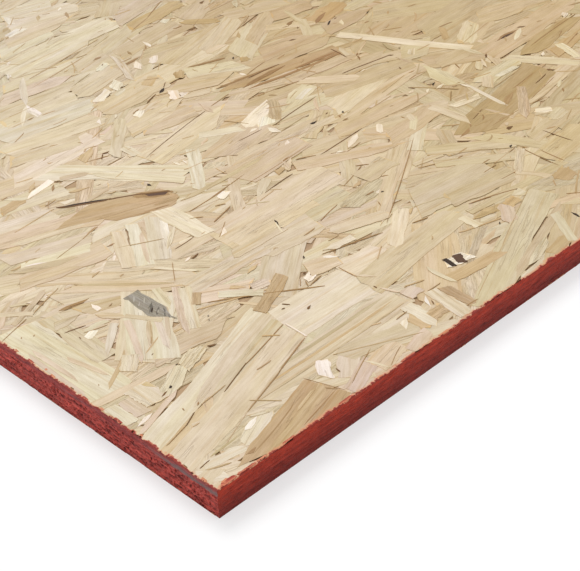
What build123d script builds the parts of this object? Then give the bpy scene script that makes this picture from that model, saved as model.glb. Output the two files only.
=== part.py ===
# A full sheet of oriented strand board lying flat, as it comes off the saw: one pressed piece,
# square edged, with no tongue, groove or rebate on any side.
#
# Frame: the origin is the middle of the underside. X runs along the sheet, which is also the way
# that most of the face strands lie, Y runs across it and Z is up through the thickness.

import os

from build123d import *

# Driving sizes, in millimetres
length = 2440.0
width = 1220.0
thickness = 18.0
arris = 0.5  # what handling and the sealing coat take off each sharp sawn edge, as a flat bevel


with BuildPart() as panel:
    with BuildSketch(Plane.XY):
        Rectangle(length, width)
    extrude(amount=thickness)

    # The arrises round both faces and the upright one at each corner are eased alike
    chamfer(panel.edges(), length=arris)

panel.part.label = "panel"

os.makedirs("parts", exist_ok=True)
export_step(panel.part, "parts/panel.step")
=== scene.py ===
import math

import bpy
import numpy as np
from mathutils import Matrix, Vector


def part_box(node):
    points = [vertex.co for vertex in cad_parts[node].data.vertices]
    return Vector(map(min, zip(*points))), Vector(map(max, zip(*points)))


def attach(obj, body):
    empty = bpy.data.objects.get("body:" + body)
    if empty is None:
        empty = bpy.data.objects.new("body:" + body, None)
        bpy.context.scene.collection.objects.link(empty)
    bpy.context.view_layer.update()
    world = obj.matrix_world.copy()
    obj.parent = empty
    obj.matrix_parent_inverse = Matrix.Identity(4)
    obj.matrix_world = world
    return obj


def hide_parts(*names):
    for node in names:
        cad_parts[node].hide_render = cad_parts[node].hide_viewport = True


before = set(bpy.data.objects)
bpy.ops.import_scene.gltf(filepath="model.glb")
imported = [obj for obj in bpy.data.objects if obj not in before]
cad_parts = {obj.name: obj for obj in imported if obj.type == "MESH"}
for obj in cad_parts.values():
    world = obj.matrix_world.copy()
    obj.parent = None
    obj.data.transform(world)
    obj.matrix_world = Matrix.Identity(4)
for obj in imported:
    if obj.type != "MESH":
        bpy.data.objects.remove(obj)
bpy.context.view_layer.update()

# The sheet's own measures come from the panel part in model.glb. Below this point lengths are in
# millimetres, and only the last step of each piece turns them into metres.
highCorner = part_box("panel")[1]
metre = 0.001
halfLength = highCorner.x / metre
halfWidth = highCorner.y / metre
thickness = highCorner.z / metre


# A number from 0 to 1 for each lattice point: its two whole numbers and the seed are
# multiplied, mixed by shifts and cut to 32 bits, so it is the same on every run
def latticeValue(column, row, seed):
    lowBits = 0xFFFFFFFF
    mixed = column.astype(np.int64) * 374761393 + row.astype(np.int64) * 668265263 + seed * 974634777
    mixed = mixed & lowBits
    mixed = ((mixed ^ (mixed >> 13)) * 1274126177) & lowBits
    mixed = ((mixed ^ (mixed >> 16)) * 1103515245) & lowBits
    return ((mixed ^ (mixed >> 15)) & 0xFFFFFF) / float(0xFFFFFF)


# Smooth noise from 0 to 1: the four lattice values round each point, eased into each other
def smoothNoise(x, y, seed):
    column = np.floor(x)
    row = np.floor(y)
    easeX = x - column
    easeY = y - row
    easeX = easeX * easeX * (3.0 - 2.0 * easeX)
    easeY = easeY * easeY * (3.0 - 2.0 * easeY)
    near = latticeValue(column, row, seed) * (1 - easeX) + latticeValue(column + 1, row, seed) * easeX
    far = latticeValue(column, row + 1, seed) * (1 - easeX) + latticeValue(column + 1, row + 1, seed) * easeX
    return near * (1 - easeY) + far * easeY


# Eases from 0 to 1 while the value goes from start to end
def ramp(value, start, end):
    part = np.clip((value - start) / (end - start), 0.0, 1.0)
    return part * part * (3.0 - 2.0 * part)


# Wood tones, as linear colours
tones = {
    "white": (0.85, 0.78, 0.68),
    "cream": (0.715, 0.635, 0.49),
    "straw": (0.66, 0.56, 0.41),
    "sand": (0.625, 0.515, 0.365),
    "olive": (0.55, 0.455, 0.30),
    "pink": (0.67, 0.55, 0.435),
    "golden": (0.60, 0.455, 0.27),
    "tan": (0.54, 0.405, 0.245),
    "rust": (0.51, 0.365, 0.215),
    "brown": (0.38, 0.245, 0.125),
    "umber": (0.19, 0.105, 0.045),
    "cocoa": (0.115, 0.066, 0.042),
    "bark": (0.045, 0.028, 0.018),
    "grey": (0.35, 0.32, 0.27),
    "ash": (0.46, 0.43, 0.38),
    "soot": (0.15, 0.14, 0.12),
    "paint": (0.36, 0.055, 0.04),
    "stain": (0.60, 0.26, 0.15),
}

# The strands of the corner that shows best, listed one by one: both ends of the middle line from the corner
# of the sheet, along and across it in millimetres, then the width, the tone and the two ends (c cut square,
# s and z cut aslant, p pointed, r ragged). A later strand lies on top of the earlier ones. Thin dark ones
# stand for cracks, their dark tone painted shade in place of the gap, and short ones are chips, flecks of
# bark and pits, the dark pits being painted shade as well.
handLaid = [
    # Broad strands, the undermost first
    (-8, 45, 113, 86, 15, "cream", "cc"), (34, 52, 114, 80.5, 9, "straw", "pc"),
    (38, 47, 113, 73.5, 9, "sand", "pc"), (45, 37, 173, 39, 20, "straw", "pc"),
    (60, 33, 170, 34, 0.89, "olive", "pp"), (50, 45, 168, 46, 2.4, "olive", "pp"),
    (70, 39, 168, 40, 1.6, "golden", "pp"), (112, 68, 171, 68, 31, "cream", "cc"),
    (12, 90, 10, 173, 30, "cream", "cc"), (2, 96, 3, 150, 3, "pink", "pp"),
    (30, 116, 32, 168, 14, "straw", "cc"), (40, 100, 84, 146, 30, "straw", "cc"),
    (171, 77, 203, 74, 23, "cream", "cr"), (170, 60, 262, 71, 20, "sand", "cr"),
    (150, 131, 198, 128, 22, "straw", "zc"), (100, 131, 158, 131, 15, "straw", "cc"),
    (145, 150, 214, 150, 25, "sand", "cc"), (98, 168, 125, 205, 14, "cream", "cc"),
    (102, 166, 121, 196, 3, "pink", "pp"), (109, 167, 128, 204, 4, "sand", "cc"),
    (118, 168, 132, 200, 3, "pink", "pc"), (110, 165, 137, 203, 12, "cream", "cc"),
    (92, 172, 112, 206, 9, "straw", "cc"), (150, 155, 246, 160, 28, "straw", "cc"),
    (40, 206, 96, 198, 16, "sand", "sc"), (46, 232, 100, 214, 12, "straw", "rr"),
    (48, 218, 92, 205, 9, "cream", "rr"), (58, 262, 100, 250, 16, "cream", "rr"),
    (66, 282, 122, 270, 18, "straw", "sc"), (80, 300, 150, 284, 20, "sand", "rc"),
    (118, 304, 185, 226, 19, "cream", "cs"), (143, 272, 178, 221, 9, "cream", "pc"),
    (196, -3, 314, 47, 17, "straw", "cc"), (208, 75, 242, 98, 10, "cream", "rz"),
    (222, 97, 314, 153, 10, "straw", "pp"), (235, 181, 304, 149, 12, "sand", "cp"),
    (195, 113, 234, 101, 9, "straw", "rr"), (252, 96, 316, 92, 30, "straw", "sc"),
    (268, 84, 322, 76, 16, "sand", "sr"), (200, 198, 262, 205, 26, "sand", "rc"),
    (204, 226, 262, 236, 24, "sand", "pc"), (212, 214, 292, 214, 12, "straw", "pp"),
    (206, 290, 246, 286, 18, "sand", "sr"), (180, 256, 262, 270, 20, "straw", "cp"),
    (222, 256, 248, 241, 8, "cream", "sr"), (176, 205, 207, 246, 9, "cream", "sc"),
    (168, 277, 203, 313, 9, "straw", "sr"), (196, 296, 250, 300, 16, "straw", "sp"),
    (300, 138, 346, 170, 10, "cream", "cs"), (304, 132, 350, 98, 12, "straw", "sr"),
    (296, 118, 344, 82, 10, "straw", "cp"), (300, 160, 352, 166, 16, "sand", "sr"),
    (334, 126, 446, 149, 25, "tan", "pc"), (340, 125, 372, 60, 11, "straw", "pc"),
    (346, 70, 400, 76, 20, "sand", "cr"), (362, 92, 424, 96, 14, "straw", "sr"),
    (392, 112, 430, 88, 10, "straw", "sp"), (300, 205, 398, 213, 18, "straw", "rz"),
    (284, 190, 366, 186, 14, "sand", "sp"), (306, 214, 372, 230, 22, "cream", "sr"),
    (318, 236, 396, 222, 18, "sand", "rr"), (268, 263, 396, 246, 14, "sand", "pp"),
    (316, 268, 378, 262, 11, "pink", "cr"), (274, 293, 376, 275, 15, "tan", "pc"),
    (290, 280, 372, 270, 2.55, "brown", "pc"), (300, 302, 384, 296, 22, "sand", "rr"),
    (388, 176, 394, 214, 14, "cream", "sp"), (398, 216, 440, 190, 22, "sand", "rr"),
    (404, 264, 470, 276, 32, "sand", "rr"), (400, 236, 432, 228, 24, "straw", "sp"),
    (436, 296, 500, 268, 28, "straw", "sc"), (436, 246, 540, 254, 26, "sand", "sr"),
    (440, 212, 486, 224, 14, "sand", "sr"), (438, 190, 560, 201, 24, "sand", "cp"),
    (450, 170, 536, 182, 14, "tan", "pp"), (470, 154, 512, 162, 11, "golden", "sp"),
    (444, 214, 474, 231, 13, "cream", "sr"), (482, 232, 560, 216, 22, "sand", "sp"),
    (442, 176, 470, 132, 11, "cream", "sc"), (400, 165, 442, 168, 12, "cream", "rz"),
    (404, 206, 452, 204, 14, "sand", "sr"),
    # Broad strands at the far left and far up
    (100, 300, 176, 306, 20, "cream", "pc"), (120, 322, 168, 312, 14, "sand", "sr"),
    (122, 336, 196, 322, 18, "straw", "rr"), (130, 352, 206, 344, 22, "cream", "rr"),
    (146, 366, 206, 364, 16, "straw", "cr"), (150, 380, 216, 376, 14, "sand", "cr"),
    (164, 394, 222, 388, 14, "pink", "sp"), (178, 408, 246, 404, 12, "straw", "sr"),
    (192, 428, 300, 438, 26, "cream", "cr"), (196, 414, 268, 424, 12, "cream", "pp"),
    (206, 452, 258, 460, 16, "cream", "sr"), (222, 468, 286, 470, 20, "straw", "sp"),
    (240, 490, 300, 480, 24, "cream", "sr"), (248, 510, 290, 500, 20, "cream", "cr"),
    (200, 330, 262, 338, 24, "sand", "rr"), (204, 362, 250, 372, 18, "straw", "rr"),
    (232, 396, 300, 414, 20, "straw", "sr"), (260, 404, 346, 436, 18, "straw", "sr"),
    (262, 388, 330, 402, 18, "sand", "rr"), (300, 436, 350, 446, 20, "pink", "sr"),
    (300, 418, 356, 424, 14, "golden", "sr"), (274, 372, 348, 360, 24, "straw", "sr"),
    (276, 350, 350, 372, 22, "straw", "rr"), (310, 344, 372, 376, 16, "cream", "sp"),
    (276, 328, 313, 311, 20, "cream", "cz"), (320, 320, 372, 350, 20, "cream", "sr"),
    (332, 310, 388, 306, 20, "sand", "sp"), (342, 330, 402, 362, 14, "straw", "sp"),
    (360, 380, 410, 362, 20, "straw", "rr"), (336, 396, 372, 412, 22, "pink", "sp"),
    (366, 340, 400, 318, 9, "cream", "sr"), (256, 320, 300, 300, 18, "sand", "sp"),
    (300, 446, 322, 466, 18, "sand", "rr"), (384, 352, 420, 346, 18, "sand", "sr"),
    (396, 320, 436, 330, 16, "golden", "rr"), (392, 304, 440, 306, 18, "sand", "sp"),
    # The corner
    (-6, 25, 112, 60.5, 17, "straw", "cc"), (-4, 91.5, 52, 85, 6, "sand", "cp"),
    (5, 66, 5, 84, 8, "cream", "cc"), (13, 67, 13, 83, 8, "pink", "cc"), (24, 69, 24, 87, 14, "cream", "cc"),
    (29, 86, 30, 79, 3, "golden", "cp"), (30, 70, 51, 82, 9, "cream", "rc"),
    (28, 70.5, 33, 72.5, 1, "umber", "pp"), (35.2, 72.8, 37, 74, 1.2, "bark", "cc"),
    (48, 99, 97, 90, 15, "sand", "sp"), (51, 80, 68, 87, 9, "cream", "rz"),
    (72, 84.5, 76, 82.5, 1.24, "umber", "rp"), (0, 56, 37, 69, 3, "pink", "pp"),
    (4, 62, 16, 65, 3, "white", "pp"), (5, 41, 22, 45.5, 0.4, "brown", "pp"),
    (21, 45, 31, 50, 0.45, "umber", "pp"), (28.5, 54.5, 29, 56.5, 0.62, "brown", "pp"),
    (36, 52.5, 38, 54.5, 0.93, "brown", "pp"), (52, 50.5, 76, 59.5, 0.45, "umber", "pp"),
    (38, 52, 56, 54.2, 0.4, "tan", "pp"), (20, 18.5, 50, 31, 0.45, "tan", "pp"),
    (49, 30.8, 84, 42, 0.6, "brown", "pp"), (82, 41.6, 111.5, 52, 0.7, "brown", "pp"),
    # painted highlight: the thin white strand at 113 along is the lit cut end of the broad straw strand that
    # ends there
    (74, 58.6, 112.5, 69.2, 0.45, "brown", "pp"), (113, 52.5, 113.6, 68, 1.1, "white", "cc"),
    (0, 14, 11, 5, 9, "cream", "cz"), (-3, 8, 10, 12, 8, "straw", "cz"), (6, 17, 30, 13, 6, "cream", "rz"),
    (6, 14.5, 18, 9.5, 0.98, "tan", "pp"), (5, 17.3, 12, 18.2, 0.45, "umber", "pp"),
    (14, 20, 33, 21, 0.98, "olive", "pp"), (46, 29, 54.5, 23, 3.2, "tan", "pp"),
    (38, 27, 43, 21.5, 0.45, "olive", "pp"), (31, 13.5, 56, 24, 10, "cream", "rr"),
    (39, 21, 50, 25, 3, "white", "rp"), (47, 27.5, 56, 23, 1.8, "cream", "pp"),
    (21, -4.5, 90.5, 16, 26, "rust", "pc"), (30, -1, 90, 17, 6, "tan", "pr"),
    (30, 6.5, 70, 18.5, 0.8, "brown", "pp"), (50, 14, 88, 26, 0.7, "tan", "pp"),
    (60, 3, 91.5, 10.5, 0.8, "brown", "pp"), (66, 13, 84, 18.5, 1.6, "golden", "pp"),
    (27, 8, 33, 7.5, 2.55, "brown", "pp"), (86.5, 29, 94, 6.5, 0.45, "brown", "pp"),
    (88.5, 15, 92, 10, 0.93, "brown", "pp"), (94, 3, 97.5, -0.5, 0.62, "umber", "pp"),
    (103, 12, 118, 26, 12, "pink", "cc"), (95, 21, 103.5, 32, 7.65, "white", "sc"),
    (103, 18, 103.5, 22, 0.62, "umber", "pp"), (96, 3, 122, 14, 9, "pink", "cc"),
    (119, 8, 141, 13, 13, "sand", "cc"), (118, 16, 122.5, 2, 1.5, "cream", "pp"),
    (113, 27, 160, 14, 12, "sand", "rr"), (141, 3, 160, 8, 8, "pink", "cs"),
    (111, 31, 157, 9, 0.81, "tan", "pp"), (100, 7.5, 128, 20, 0.45, "brown", "pp"),
    (124, 2.5, 140, 10, 0.45, "brown", "pp"), (163, 10, 163, 24, 9, "golden", "cr"),
    (169, 31.5, 169.5, 10, 9, "cream", "cz"), (170.5, 15, 181.5, 15, 8, "golden", "cc"),
    (152, 19, 160, 24, 4, "white", "pp"), (156, 27, 166, 27.5, 0.45, "brown", "pp"),
    (184.5, 2, 189, 31, 9, "cream", "cc"), (195, 5, 196, 28, 7, "tan", "cr"),
    (190.5, 7, 200, 6.5, 0.89, "brown", "pp"), (176, 22, 182.5, 30, 3.5, "white", "pp"),
    (180, 21, 182, 24.5, 0.62, "umber", "pp"), (176, 36, 186, 38, 10, "pink", "cc"),
    (187, 31.5, 198, 31.5, 0.45, "brown", "pp"), (112, 86.5, 145, 102, 8, "tan", "cc"),
    (99, 114, 153, 77, 0.81, "brown", "pp"), (121.5, 79, 123.5, 79, 0.93, "umber", "pp"),
    (125, 82.5, 127.5, 79, 0.62, "umber", "pp"), (131, 69, 134.5, 70, 1.24, "umber", "rp"),
    (171.5, 84, 171.5, 70, 0.45, "brown", "pp"), (172, 73, 178, 62, 3, "cream", "pp"),
    (172, 53, 176, 42, 1.5, "pink", "pp"), (171, 57, 171, 54, 0.62, "umber", "pp"),
    (150, 88, 160, 92, 5.95, "white", "rr"), (155, 89.5, 156.5, 91.5, 0.93, "umber", "pp"),
    (153.5, 94, 156, 94.5, 0.93, "umber", "pp"), (147, 84, 149.5, 88.5, 0.62, "brown", "pp"),
    (144, 87, 149, 92, 0.45, "brown", "pp"), (148, 83.3, 159, 85.5, 0.58, "brown", "pp"),
    (158, 95, 178, 90, 14, "sand", "cc"), (173, 98, 180, 91, 3, "white", "pp"),
    (175, 100, 215, 89.5, 0.63, "brown", "pp"),
    # Up the short side
    (21, 104, 15, 132, 3, "pink", "pp"), (8, 112, 7, 150, 3, "pink", "pp"),
    (28, 158, 44, 156, 7, "sand", "sp"), (46, 97, 80, 141, 27, "cream", "cc"),
    (40, 100, 58, 134, 4, "pink", "pc"), (56, 98, 76, 136, 4, "pink", "pc"),
    (50, 104, 68, 128, 3, "sand", "pp"), (62, 104, 82, 130, 2.5, "sand", "pp"),
    (72, 100, 97, 138, 5, "pink", "pc"), (60, 138, 71, 120, 3.5, "sand", "cc"),
    (50, 150, 60, 138, 5, "sand", "rr"), (30, 118, 52, 137, 4.5, "cream", "pc"),
    (13, 96, 41, 114, 2.5, "tan", "pp"), (30, 99, 40, 109, 9, "cream", "cc"),
    (47, 101, 48.5, 101, 0.99, "umber", "pp"), (46, 104, 60, 110, 0.67, "tan", "pp"),
    (53, 108, 57.5, 113, 0.55, "brown", "pp"), (28, 150, 40, 147, 0.63, "umber", "pp"),
    (30.4, 139, 31.6, 141.5, 0.93, "umber", "pp"), (33, 137, 41, 140, 4.5, "white", "rr"),
    (35, 142.5, 48.5, 138.5, 0.45, "brown", "pp"), (50.5, 132, 51.5, 134, 0.93, "umber", "pp"),
    (52, 187, 101, 138, 11, "sand", "pp"), (60, 181, 98, 142, 2.4, "olive", "pp"),
    (78, 101, 99.5, 134, 7, "cream", "cc"), (82, 125, 88, 145, 5, "cream", "pc"),
    (75.8, 117, 75, 151, 11, "grey", "pc"), (71.2, 129.4, 77.6, 135.6, 1.8, "soot", "pp"),
    (72.2, 125.6, 78.2, 130.6, 1.2, "soot", "pp"), (70.6, 139, 74.5, 142, 0.8, "ash", "pp"),
    (71.5, 144, 76, 149, 0.9, "ash", "pp"), (74, 138.4, 78.6, 143, 0.7, "ash", "pp"),
    (71.4, 129.2, 75.6, 132.8, 1, "bark", "pp"), (73.6, 133.6, 78.8, 136.6, 0.9, "soot", "pp"),
    (73.4, 126.2, 76.4, 128.8, 0.7, "ash", "pp"), (76.8, 123.6, 79.2, 128, 1, "soot", "pp"),
    (74.4, 121, 76.4, 124, 0.7, "soot", "pp"), (75.4, 118.6, 76.6, 121.4, 0.6, "soot", "pp"),
    (39, 168.5, 57, 164.5, 2.55, "brown", "pp"), (44, 166.8, 53, 164.3, 0.58, "umber", "pp"),
    (54.5, 152.5, 54.5, 160, 3, "white", "cp"), (60, 151, 63, 152, 0.74, "brown", "pp"),
    (71.5, 180.5, 78, 182, 1.12, "tan", "pp"), (0, 168.5, 22, 175.5, 0.45, "brown", "pp"),
    (28, 177, 52, 186, 0.45, "tan", "pp"), (93, 117, 101, 125, 5, "tan", "cc"),
    (88, 101, 88.8, 102, 1, "grey", "pp"), (90, 104, 91, 105, 1.2, "grey", "pp"),
    (12, 101, 13, 102.4, 0.87, "brown", "pp"), (9, 163, 10.4, 164, 0.87, "brown", "pp"),
    (15, 160, 16.5, 160.4, 0.74, "brown", "pp"),
    # Middle of the view
    (126, 178, 138, 196, 5, "white", "sr"), (120, 170, 138, 186, 3, "cream", "pp"),
    (100, 193, 125, 180, 0.45, "tan", "pp"), (122, 167, 138, 168.5, 0.49, "umber", "pp"),
    (146, 165, 145, 208, 14, "cream", "cc"), (117, 154, 123, 153, 3, "white", "pp"),
    (122, 152, 128, 153.5, 1.24, "umber", "rp"), (101, 162, 116, 140, 2.5, "cream", "pp"),
    (100, 142, 112, 158, 0.45, "brown", "pp"), (140, 137, 178, 137, 8, "sand", "rz"),
    (180.5, 140, 182.5, 146, 1.27, "bark", "pp"), (176, 133, 181, 144, 1, "cream", "pp"),
    (148, 157, 162, 167, 0.45, "brown", "pp"), (150, 156, 158, 161, 4, "white", "pp"),
    (157, 171.5, 176, 177, 0.67, "brown", "pp"), (183, 171, 195, 163, 0.89, "olive", "pp"),
    (187, 165, 192, 171, 0.89, "olive", "pp"), (177, 188, 186, 191, 5, "white", "rz"),
    (155, 191, 188, 194, 0.53, "brown", "pp"), (117, 115, 122, 108, 3, "golden", "cp"),
    (108, 115, 126, 98, 6, "cream", "cc"), (124, 106, 136, 104, 8, "pink", "rr"),
    (133, 118, 142, 121, 4, "golden", "pp"), (165, 104.5, 167, 106.5, 1.36, "bark", "pp"),
    (182, 121, 192, 122, 0.89, "brown", "pp"), (178, 101, 200, 99, 6, "cream", "pc"),
    (258, 52, 258, 66, 6, "cream", "cc"), (262, 62, 285, 55, 7, "golden", "pc"),
    (273, 41, 286, 55, 10, "pink", "rc"), (287, 54, 297, 55, 8, "golden", "cc"),
    (297, 57, 307, 57, 8, "cream", "pc"), (267.5, 44, 269, 46, 1.1, "bark", "pp"),
    (201, 8, 252, 29.5, 0.42, "tan", "pp"), (250, 29, 281, 43, 0.42, "tan", "pp"),
    (280, 43, 310, 56, 0.42, "tan", "pp"), (230, 4, 312, 31, 6, "sand", "pp"),
    (244, 5, 275, 15, 5, "cream", "pp"), (262, 4, 284, 7, 8, "tan", "rr"),
    (281, 2, 298, 28, 6, "cream", "cz"), (304, 14, 306, 21, 2.12, "bark", "pp"),
    (205, 30.5, 247, 26, 8, "golden", "cp"), (204, 25, 204, 48, 3, "cream", "pp"),
    (213.4, 40.4, 229.5, 38.2, 8.6, "white", "rz"), (216, 36, 217.5, 45, 2.98, "bark", "cc"),
    (221.6, 35, 225.3, 42.8, 5.6, "cocoa", "cc"), (241, 91, 247, 95, 3, "golden", "pp"),
    (234, 83, 245, 80, 0.71, "brown", "pp"), (248, 94, 275, 86, 0.45, "olive", "pp"),
    (273, 72, 306, 61, 0.63, "brown", "pp"), (304, 60.5, 306, 61.5, 0.99, "umber", "pp"),
    (200, 172, 228, 176, 0.49, "umber", "pp"), (257, 179, 300, 182.5, 0.67, "umber", "pp"),
    (200, 188, 262, 194, 0.45, "brown", "pp"), (234, 191, 241, 192.5, 0.89, "brown", "pp"),
    (224, 94.5, 312, 149, 0.45, "brown", "pp"), (248, 120, 250, 120, 2.12, "bark", "pp"),
    (239, 124.5, 246, 124, 0.89, "brown", "pp"), (236, 110, 239, 114, 0.93, "brown", "pp"),
    (241, 135, 250, 138, 4, "tan", "pp"), (253, 134, 263, 133, 0.89, "umber", "pp"),
    (262, 133, 266, 130, 1.24, "brown", "pp"), (238, 142, 265, 151, 0.53, "brown", "pp"),
    (252, 140, 280, 142, 15, "sand", "cc"), (242, 187, 254, 181, 0.89, "brown", "pp"),
    (264, 175, 269, 170, 4, "white", "pp"), (275, 173, 292, 179, 4, "white", "pp"),
    (262, 175, 270, 169.5, 0.53, "brown", "pp"), (270, 169, 285, 171, 0.45, "brown", "pp"),
    (303, 170, 311, 178, 5, "white", "rr"), (222, 184, 230, 186, 5, "tan", "sr"),
    (232, 182, 235, 192, 4, "pink", "pp"), (200, 125, 220, 130, 0.45, "brown", "pp"),
    (285, 120, 297, 128, 0.45, "tan", "pp"), (285, 122, 310, 112, 0.45, "tan", "pp"),
    # Along the long side
    (347, 131, 352, 134, 1.24, "brown", "pp"), (333, 127, 345, 129, 2.55, "brown", "pp"),
    (356, 136, 372, 140.5, 0.58, "umber", "pp"), (356, 121, 410, 119.5, 0.63, "brown", "pp"),
    (360, 158, 386, 153, 5.95, "white", "rr"), (392, 172, 386, 131, 3.4, "white", "pp"),
    (398, 156, 412, 168, 8, "cream", "rr"), (400, 154, 438, 158, 0.53, "tan", "pp"),
    (414, 163, 436, 162, 5, "white", "rz"), (386, 133, 404, 140, 5, "rust", "pp"),
    (380, 112, 414, 141, 7, "pink", "pc"), (373, 140, 377, 119, 2.5, "pink", "pp"),
    (352, 168, 354, 133, 8, "cream", "cp"), (343, 95, 345.6, 97, 2.21, "bark", "pp"),
    (315, 95.5, 323, 95.5, 0.89, "brown", "pp"), (307, 88, 320, 88.5, 0.45, "brown", "pp"),
    (320, 90, 345, 93, 0.45, "tan", "pp"), (310, 111, 315, 111, 1.24, "brown", "pp"),
    (361, 111, 366, 112, 2.55, "umber", "rp"), (363, 114, 368, 118, 4, "pink", "pp"),
    (374.5, 93, 376, 71, 0.67, "umber", "pp"), (347, 88, 345, 59, 0.67, "brown", "pp"),
    (353, 79, 352, 60, 0.81, "brown", "pp"), (367, 97, 376, 100, 0.89, "olive", "pp"),
    (392, 113, 402, 106, 6, "white", "rz"), (390, 98, 408, 101, 9, "cream", "rr"),
    (396, 90, 410, 96, 0.53, "tan", "pp"), (331, 49, 346, 50, 12, "tan", "rr"),
    (321, 72, 346, 90, 6, "cream", "pc"), (308, 75, 322, 74, 0.53, "brown", "pp"),
    (320, 157, 335, 168, 5, "cream", "sp"), (408, 143, 436, 147, 0.67, "brown", "pp"),
    (424, 136, 441, 139.5, 0.81, "umber", "pp"), (446, 142.6, 449.6, 138.6, 2.38, "umber", "rp"),
    (404, 125, 441, 132.5, 0.45, "brown", "pp"), (430, 121, 441, 128, 3, "cream", "pp"),
    (413, 117, 415, 117.6, 0.99, "umber", "pp"), (427, 114.6, 431, 118.4, 0.99, "brown", "pp"),
    (461, 158.6, 468, 160.6, 3, "white", "pp"), (476, 138, 484.4, 161, 6.5, "white", "cc"),
    (459, 198.6, 484, 196.4, 5, "brown", "pp"), (464, 197, 479, 197, 2.4, "cocoa", "pp"),
    (469, 188, 488, 198, 3.6, "white", "pp"), (487, 198.6, 493, 197.6, 3.06, "umber", "pp"),
    (438, 226, 452, 243, 5, "tan", "rr"), (450, 243.4, 464, 242, 0.89, "brown", "pp"),
    (470, 174, 534, 181.5, 0.81, "brown", "pp"), (523, 185, 531, 188.5, 5, "white", "pc"),
    (495, 168, 504, 172, 0.49, "brown", "pp"), (487, 155.6, 509, 161.6, 0.71, "brown", "pp"),
    (440, 213, 482, 222, 0.53, "tan", "pp"), (434.6, 206, 436.6, 190, 4, "cream", "cp"),
    (433.4, 187.6, 438.6, 188.6, 2.6, "umber", "pp"), (436, 183, 440, 184, 3, "golden", "pp"),
    (409, 190, 412, 197, 0.63, "brown", "pp"), (415, 178, 426, 186, 5, "cream", "rz"),
    (421, 176, 430, 188, 4, "cream", "pp"), (404, 238, 409, 242, 4, "cream", "pp"),
    (402, 229, 410, 235, 5, "white", "rz"), (399, 244, 404, 257, 3, "olive", "pp"),
    # Above the middle
    (52, 249, 118, 229, 19, "sand", "rr"), (60, 240, 104, 228, 5, "straw", "pp"),
    (90, 242, 162, 211.5, 23, "tan", "pr"), (134, 226.5, 162.5, 213, 11, "rust", "pr"),
    (146, 212.5, 162, 208.5, 4, "rust", "pr"), (145, 230, 163.5, 215.5, 6.5, "brown", "rr"),
    # painted shadow: the umber and bark lines from 104 to 164 along run on the upper edge of the broad tan
    # strand as the shadow line of that edge
    (150, 225.5, 160.5, 217.5, 3.4, "cocoa", "rr"), (104, 254.3, 133, 237.6, 2.2, "umber", "pp"),
    (107, 252.6, 131, 239, 1.5, "bark", "pp"), (132, 238.2, 152, 226.2, 1.2, "umber", "pp"),
    (149, 227.4, 164, 216.6, 1.3, "umber", "pr"), (134, 211, 153, 206, 1.4, "brown", "pp"),
    (112, 226, 150, 214, 0.45, "tan", "pp"), (96, 217, 107, 220, 1.5, "tan", "pp"),
    (70, 251, 102, 255, 0.6, "tan", "pp"), (51, 218, 64, 212, 4, "white", "pp"),
    (42, 218, 78, 201, 6, "olive", "pp"), (40, 205, 75, 195, 5, "sand", "pp"),
    (92, 215, 106, 220, 0.67, "brown", "pp"), (69, 210, 92, 215, 0.45, "brown", "pp"),
    (97.5, 198, 103, 198, 1.24, "brown", "pp"), (79, 276, 97, 278, 8, "tan", "sr"),
    (88, 287, 100, 275, 3.5, "cream", "pp"), (98, 277, 122, 283, 5, "white", "pc"),
    (103, 283, 113, 287, 4, "tan", "pp"), (114, 273, 120, 277, 2.55, "brown", "pp"),
    (120, 263, 132, 258.6, 2.6, "tan", "pp"), (126, 281, 143, 273, 5, "sand", "rr"),
    (159, 231.5, 159, 234.5, 2.55, "bark", "pp"), (160, 280, 165, 285, 0.63, "umber", "pp"),
    (165, 285, 170, 284, 0.87, "umber", "pp"), (150, 288, 166, 297, 7, "golden", "sp"),
    (180, 260, 248, 278, 0.67, "umber", "pp"), (255, 280, 275, 284, 0.45, "brown", "pp"),
    (250, 242, 284, 252, 11.9, "white", "rs"), (258, 231, 270, 240, 10.2, "white", "pc"),
    (271, 234, 289, 255, 8, "sand", "sr"), (259, 221, 260, 230, 5, "white", "sp"),
    (246, 234, 254, 235, 3, "white", "pp"), (234, 231, 255, 231, 0.45, "umber", "pp"),
    (265, 229, 312, 236, 0.63, "umber", "pp"), (284, 238, 321, 251, 12, "cream", "pc"),
    (300, 242, 317, 248, 5, "white", "rz"), (297, 220, 310, 236, 2.6, "pink", "pp"),
    (305, 225, 326, 249, 0.45, "tan", "pp"), (250, 218, 285, 222, 0.45, "olive", "pp"),
    (251, 203, 256, 208, 4, "white", "pp"), (254, 209.5, 257, 210, 0.62, "umber", "pp"),
    (281, 212, 287, 211, 2.04, "bark", "pp"), (306, 205.6, 308.4, 208.6, 1.87, "bark", "pp"),
    (298, 213.6, 300.4, 215, 0.99, "umber", "pp"), (300.6, 204, 302.4, 206, 2.04, "brown", "pp"),
    (308, 204.4, 312, 204, 1.12, "olive", "pp"), (299, 199, 304, 199.2, 0.99, "brown", "pp"),
    (310, 195, 346, 198.6, 0.45, "tan", "pp"), (345, 206, 375, 212, 0.45, "olive", "pp"),
    (373, 205, 381, 206.2, 0.71, "brown", "pp"), (381, 206, 396, 216, 0.71, "olive", "pp"),
    (380, 211.6, 385, 211, 0.99, "brown", "pp"), (380.4, 219.4, 382.4, 223, 1.24, "umber", "pp"),
    (391.6, 234, 393.6, 220, 3.4, "pink", "pp"), (322, 260, 352, 233, 10, "cream", "sr"),
    (318, 252, 327, 249.6, 0.89, "olive", "pp"), (349, 246, 361, 245, 0.71, "umber", "pp"),
    (360, 245, 392, 240.4, 0.58, "umber", "pp"), (390.6, 240, 394, 239.4, 2.38, "umber", "pp"),
    (280, 268, 300, 265, 0.45, "tan", "pp"), (300, 265, 321, 261, 0.53, "brown", "pp"),
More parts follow.
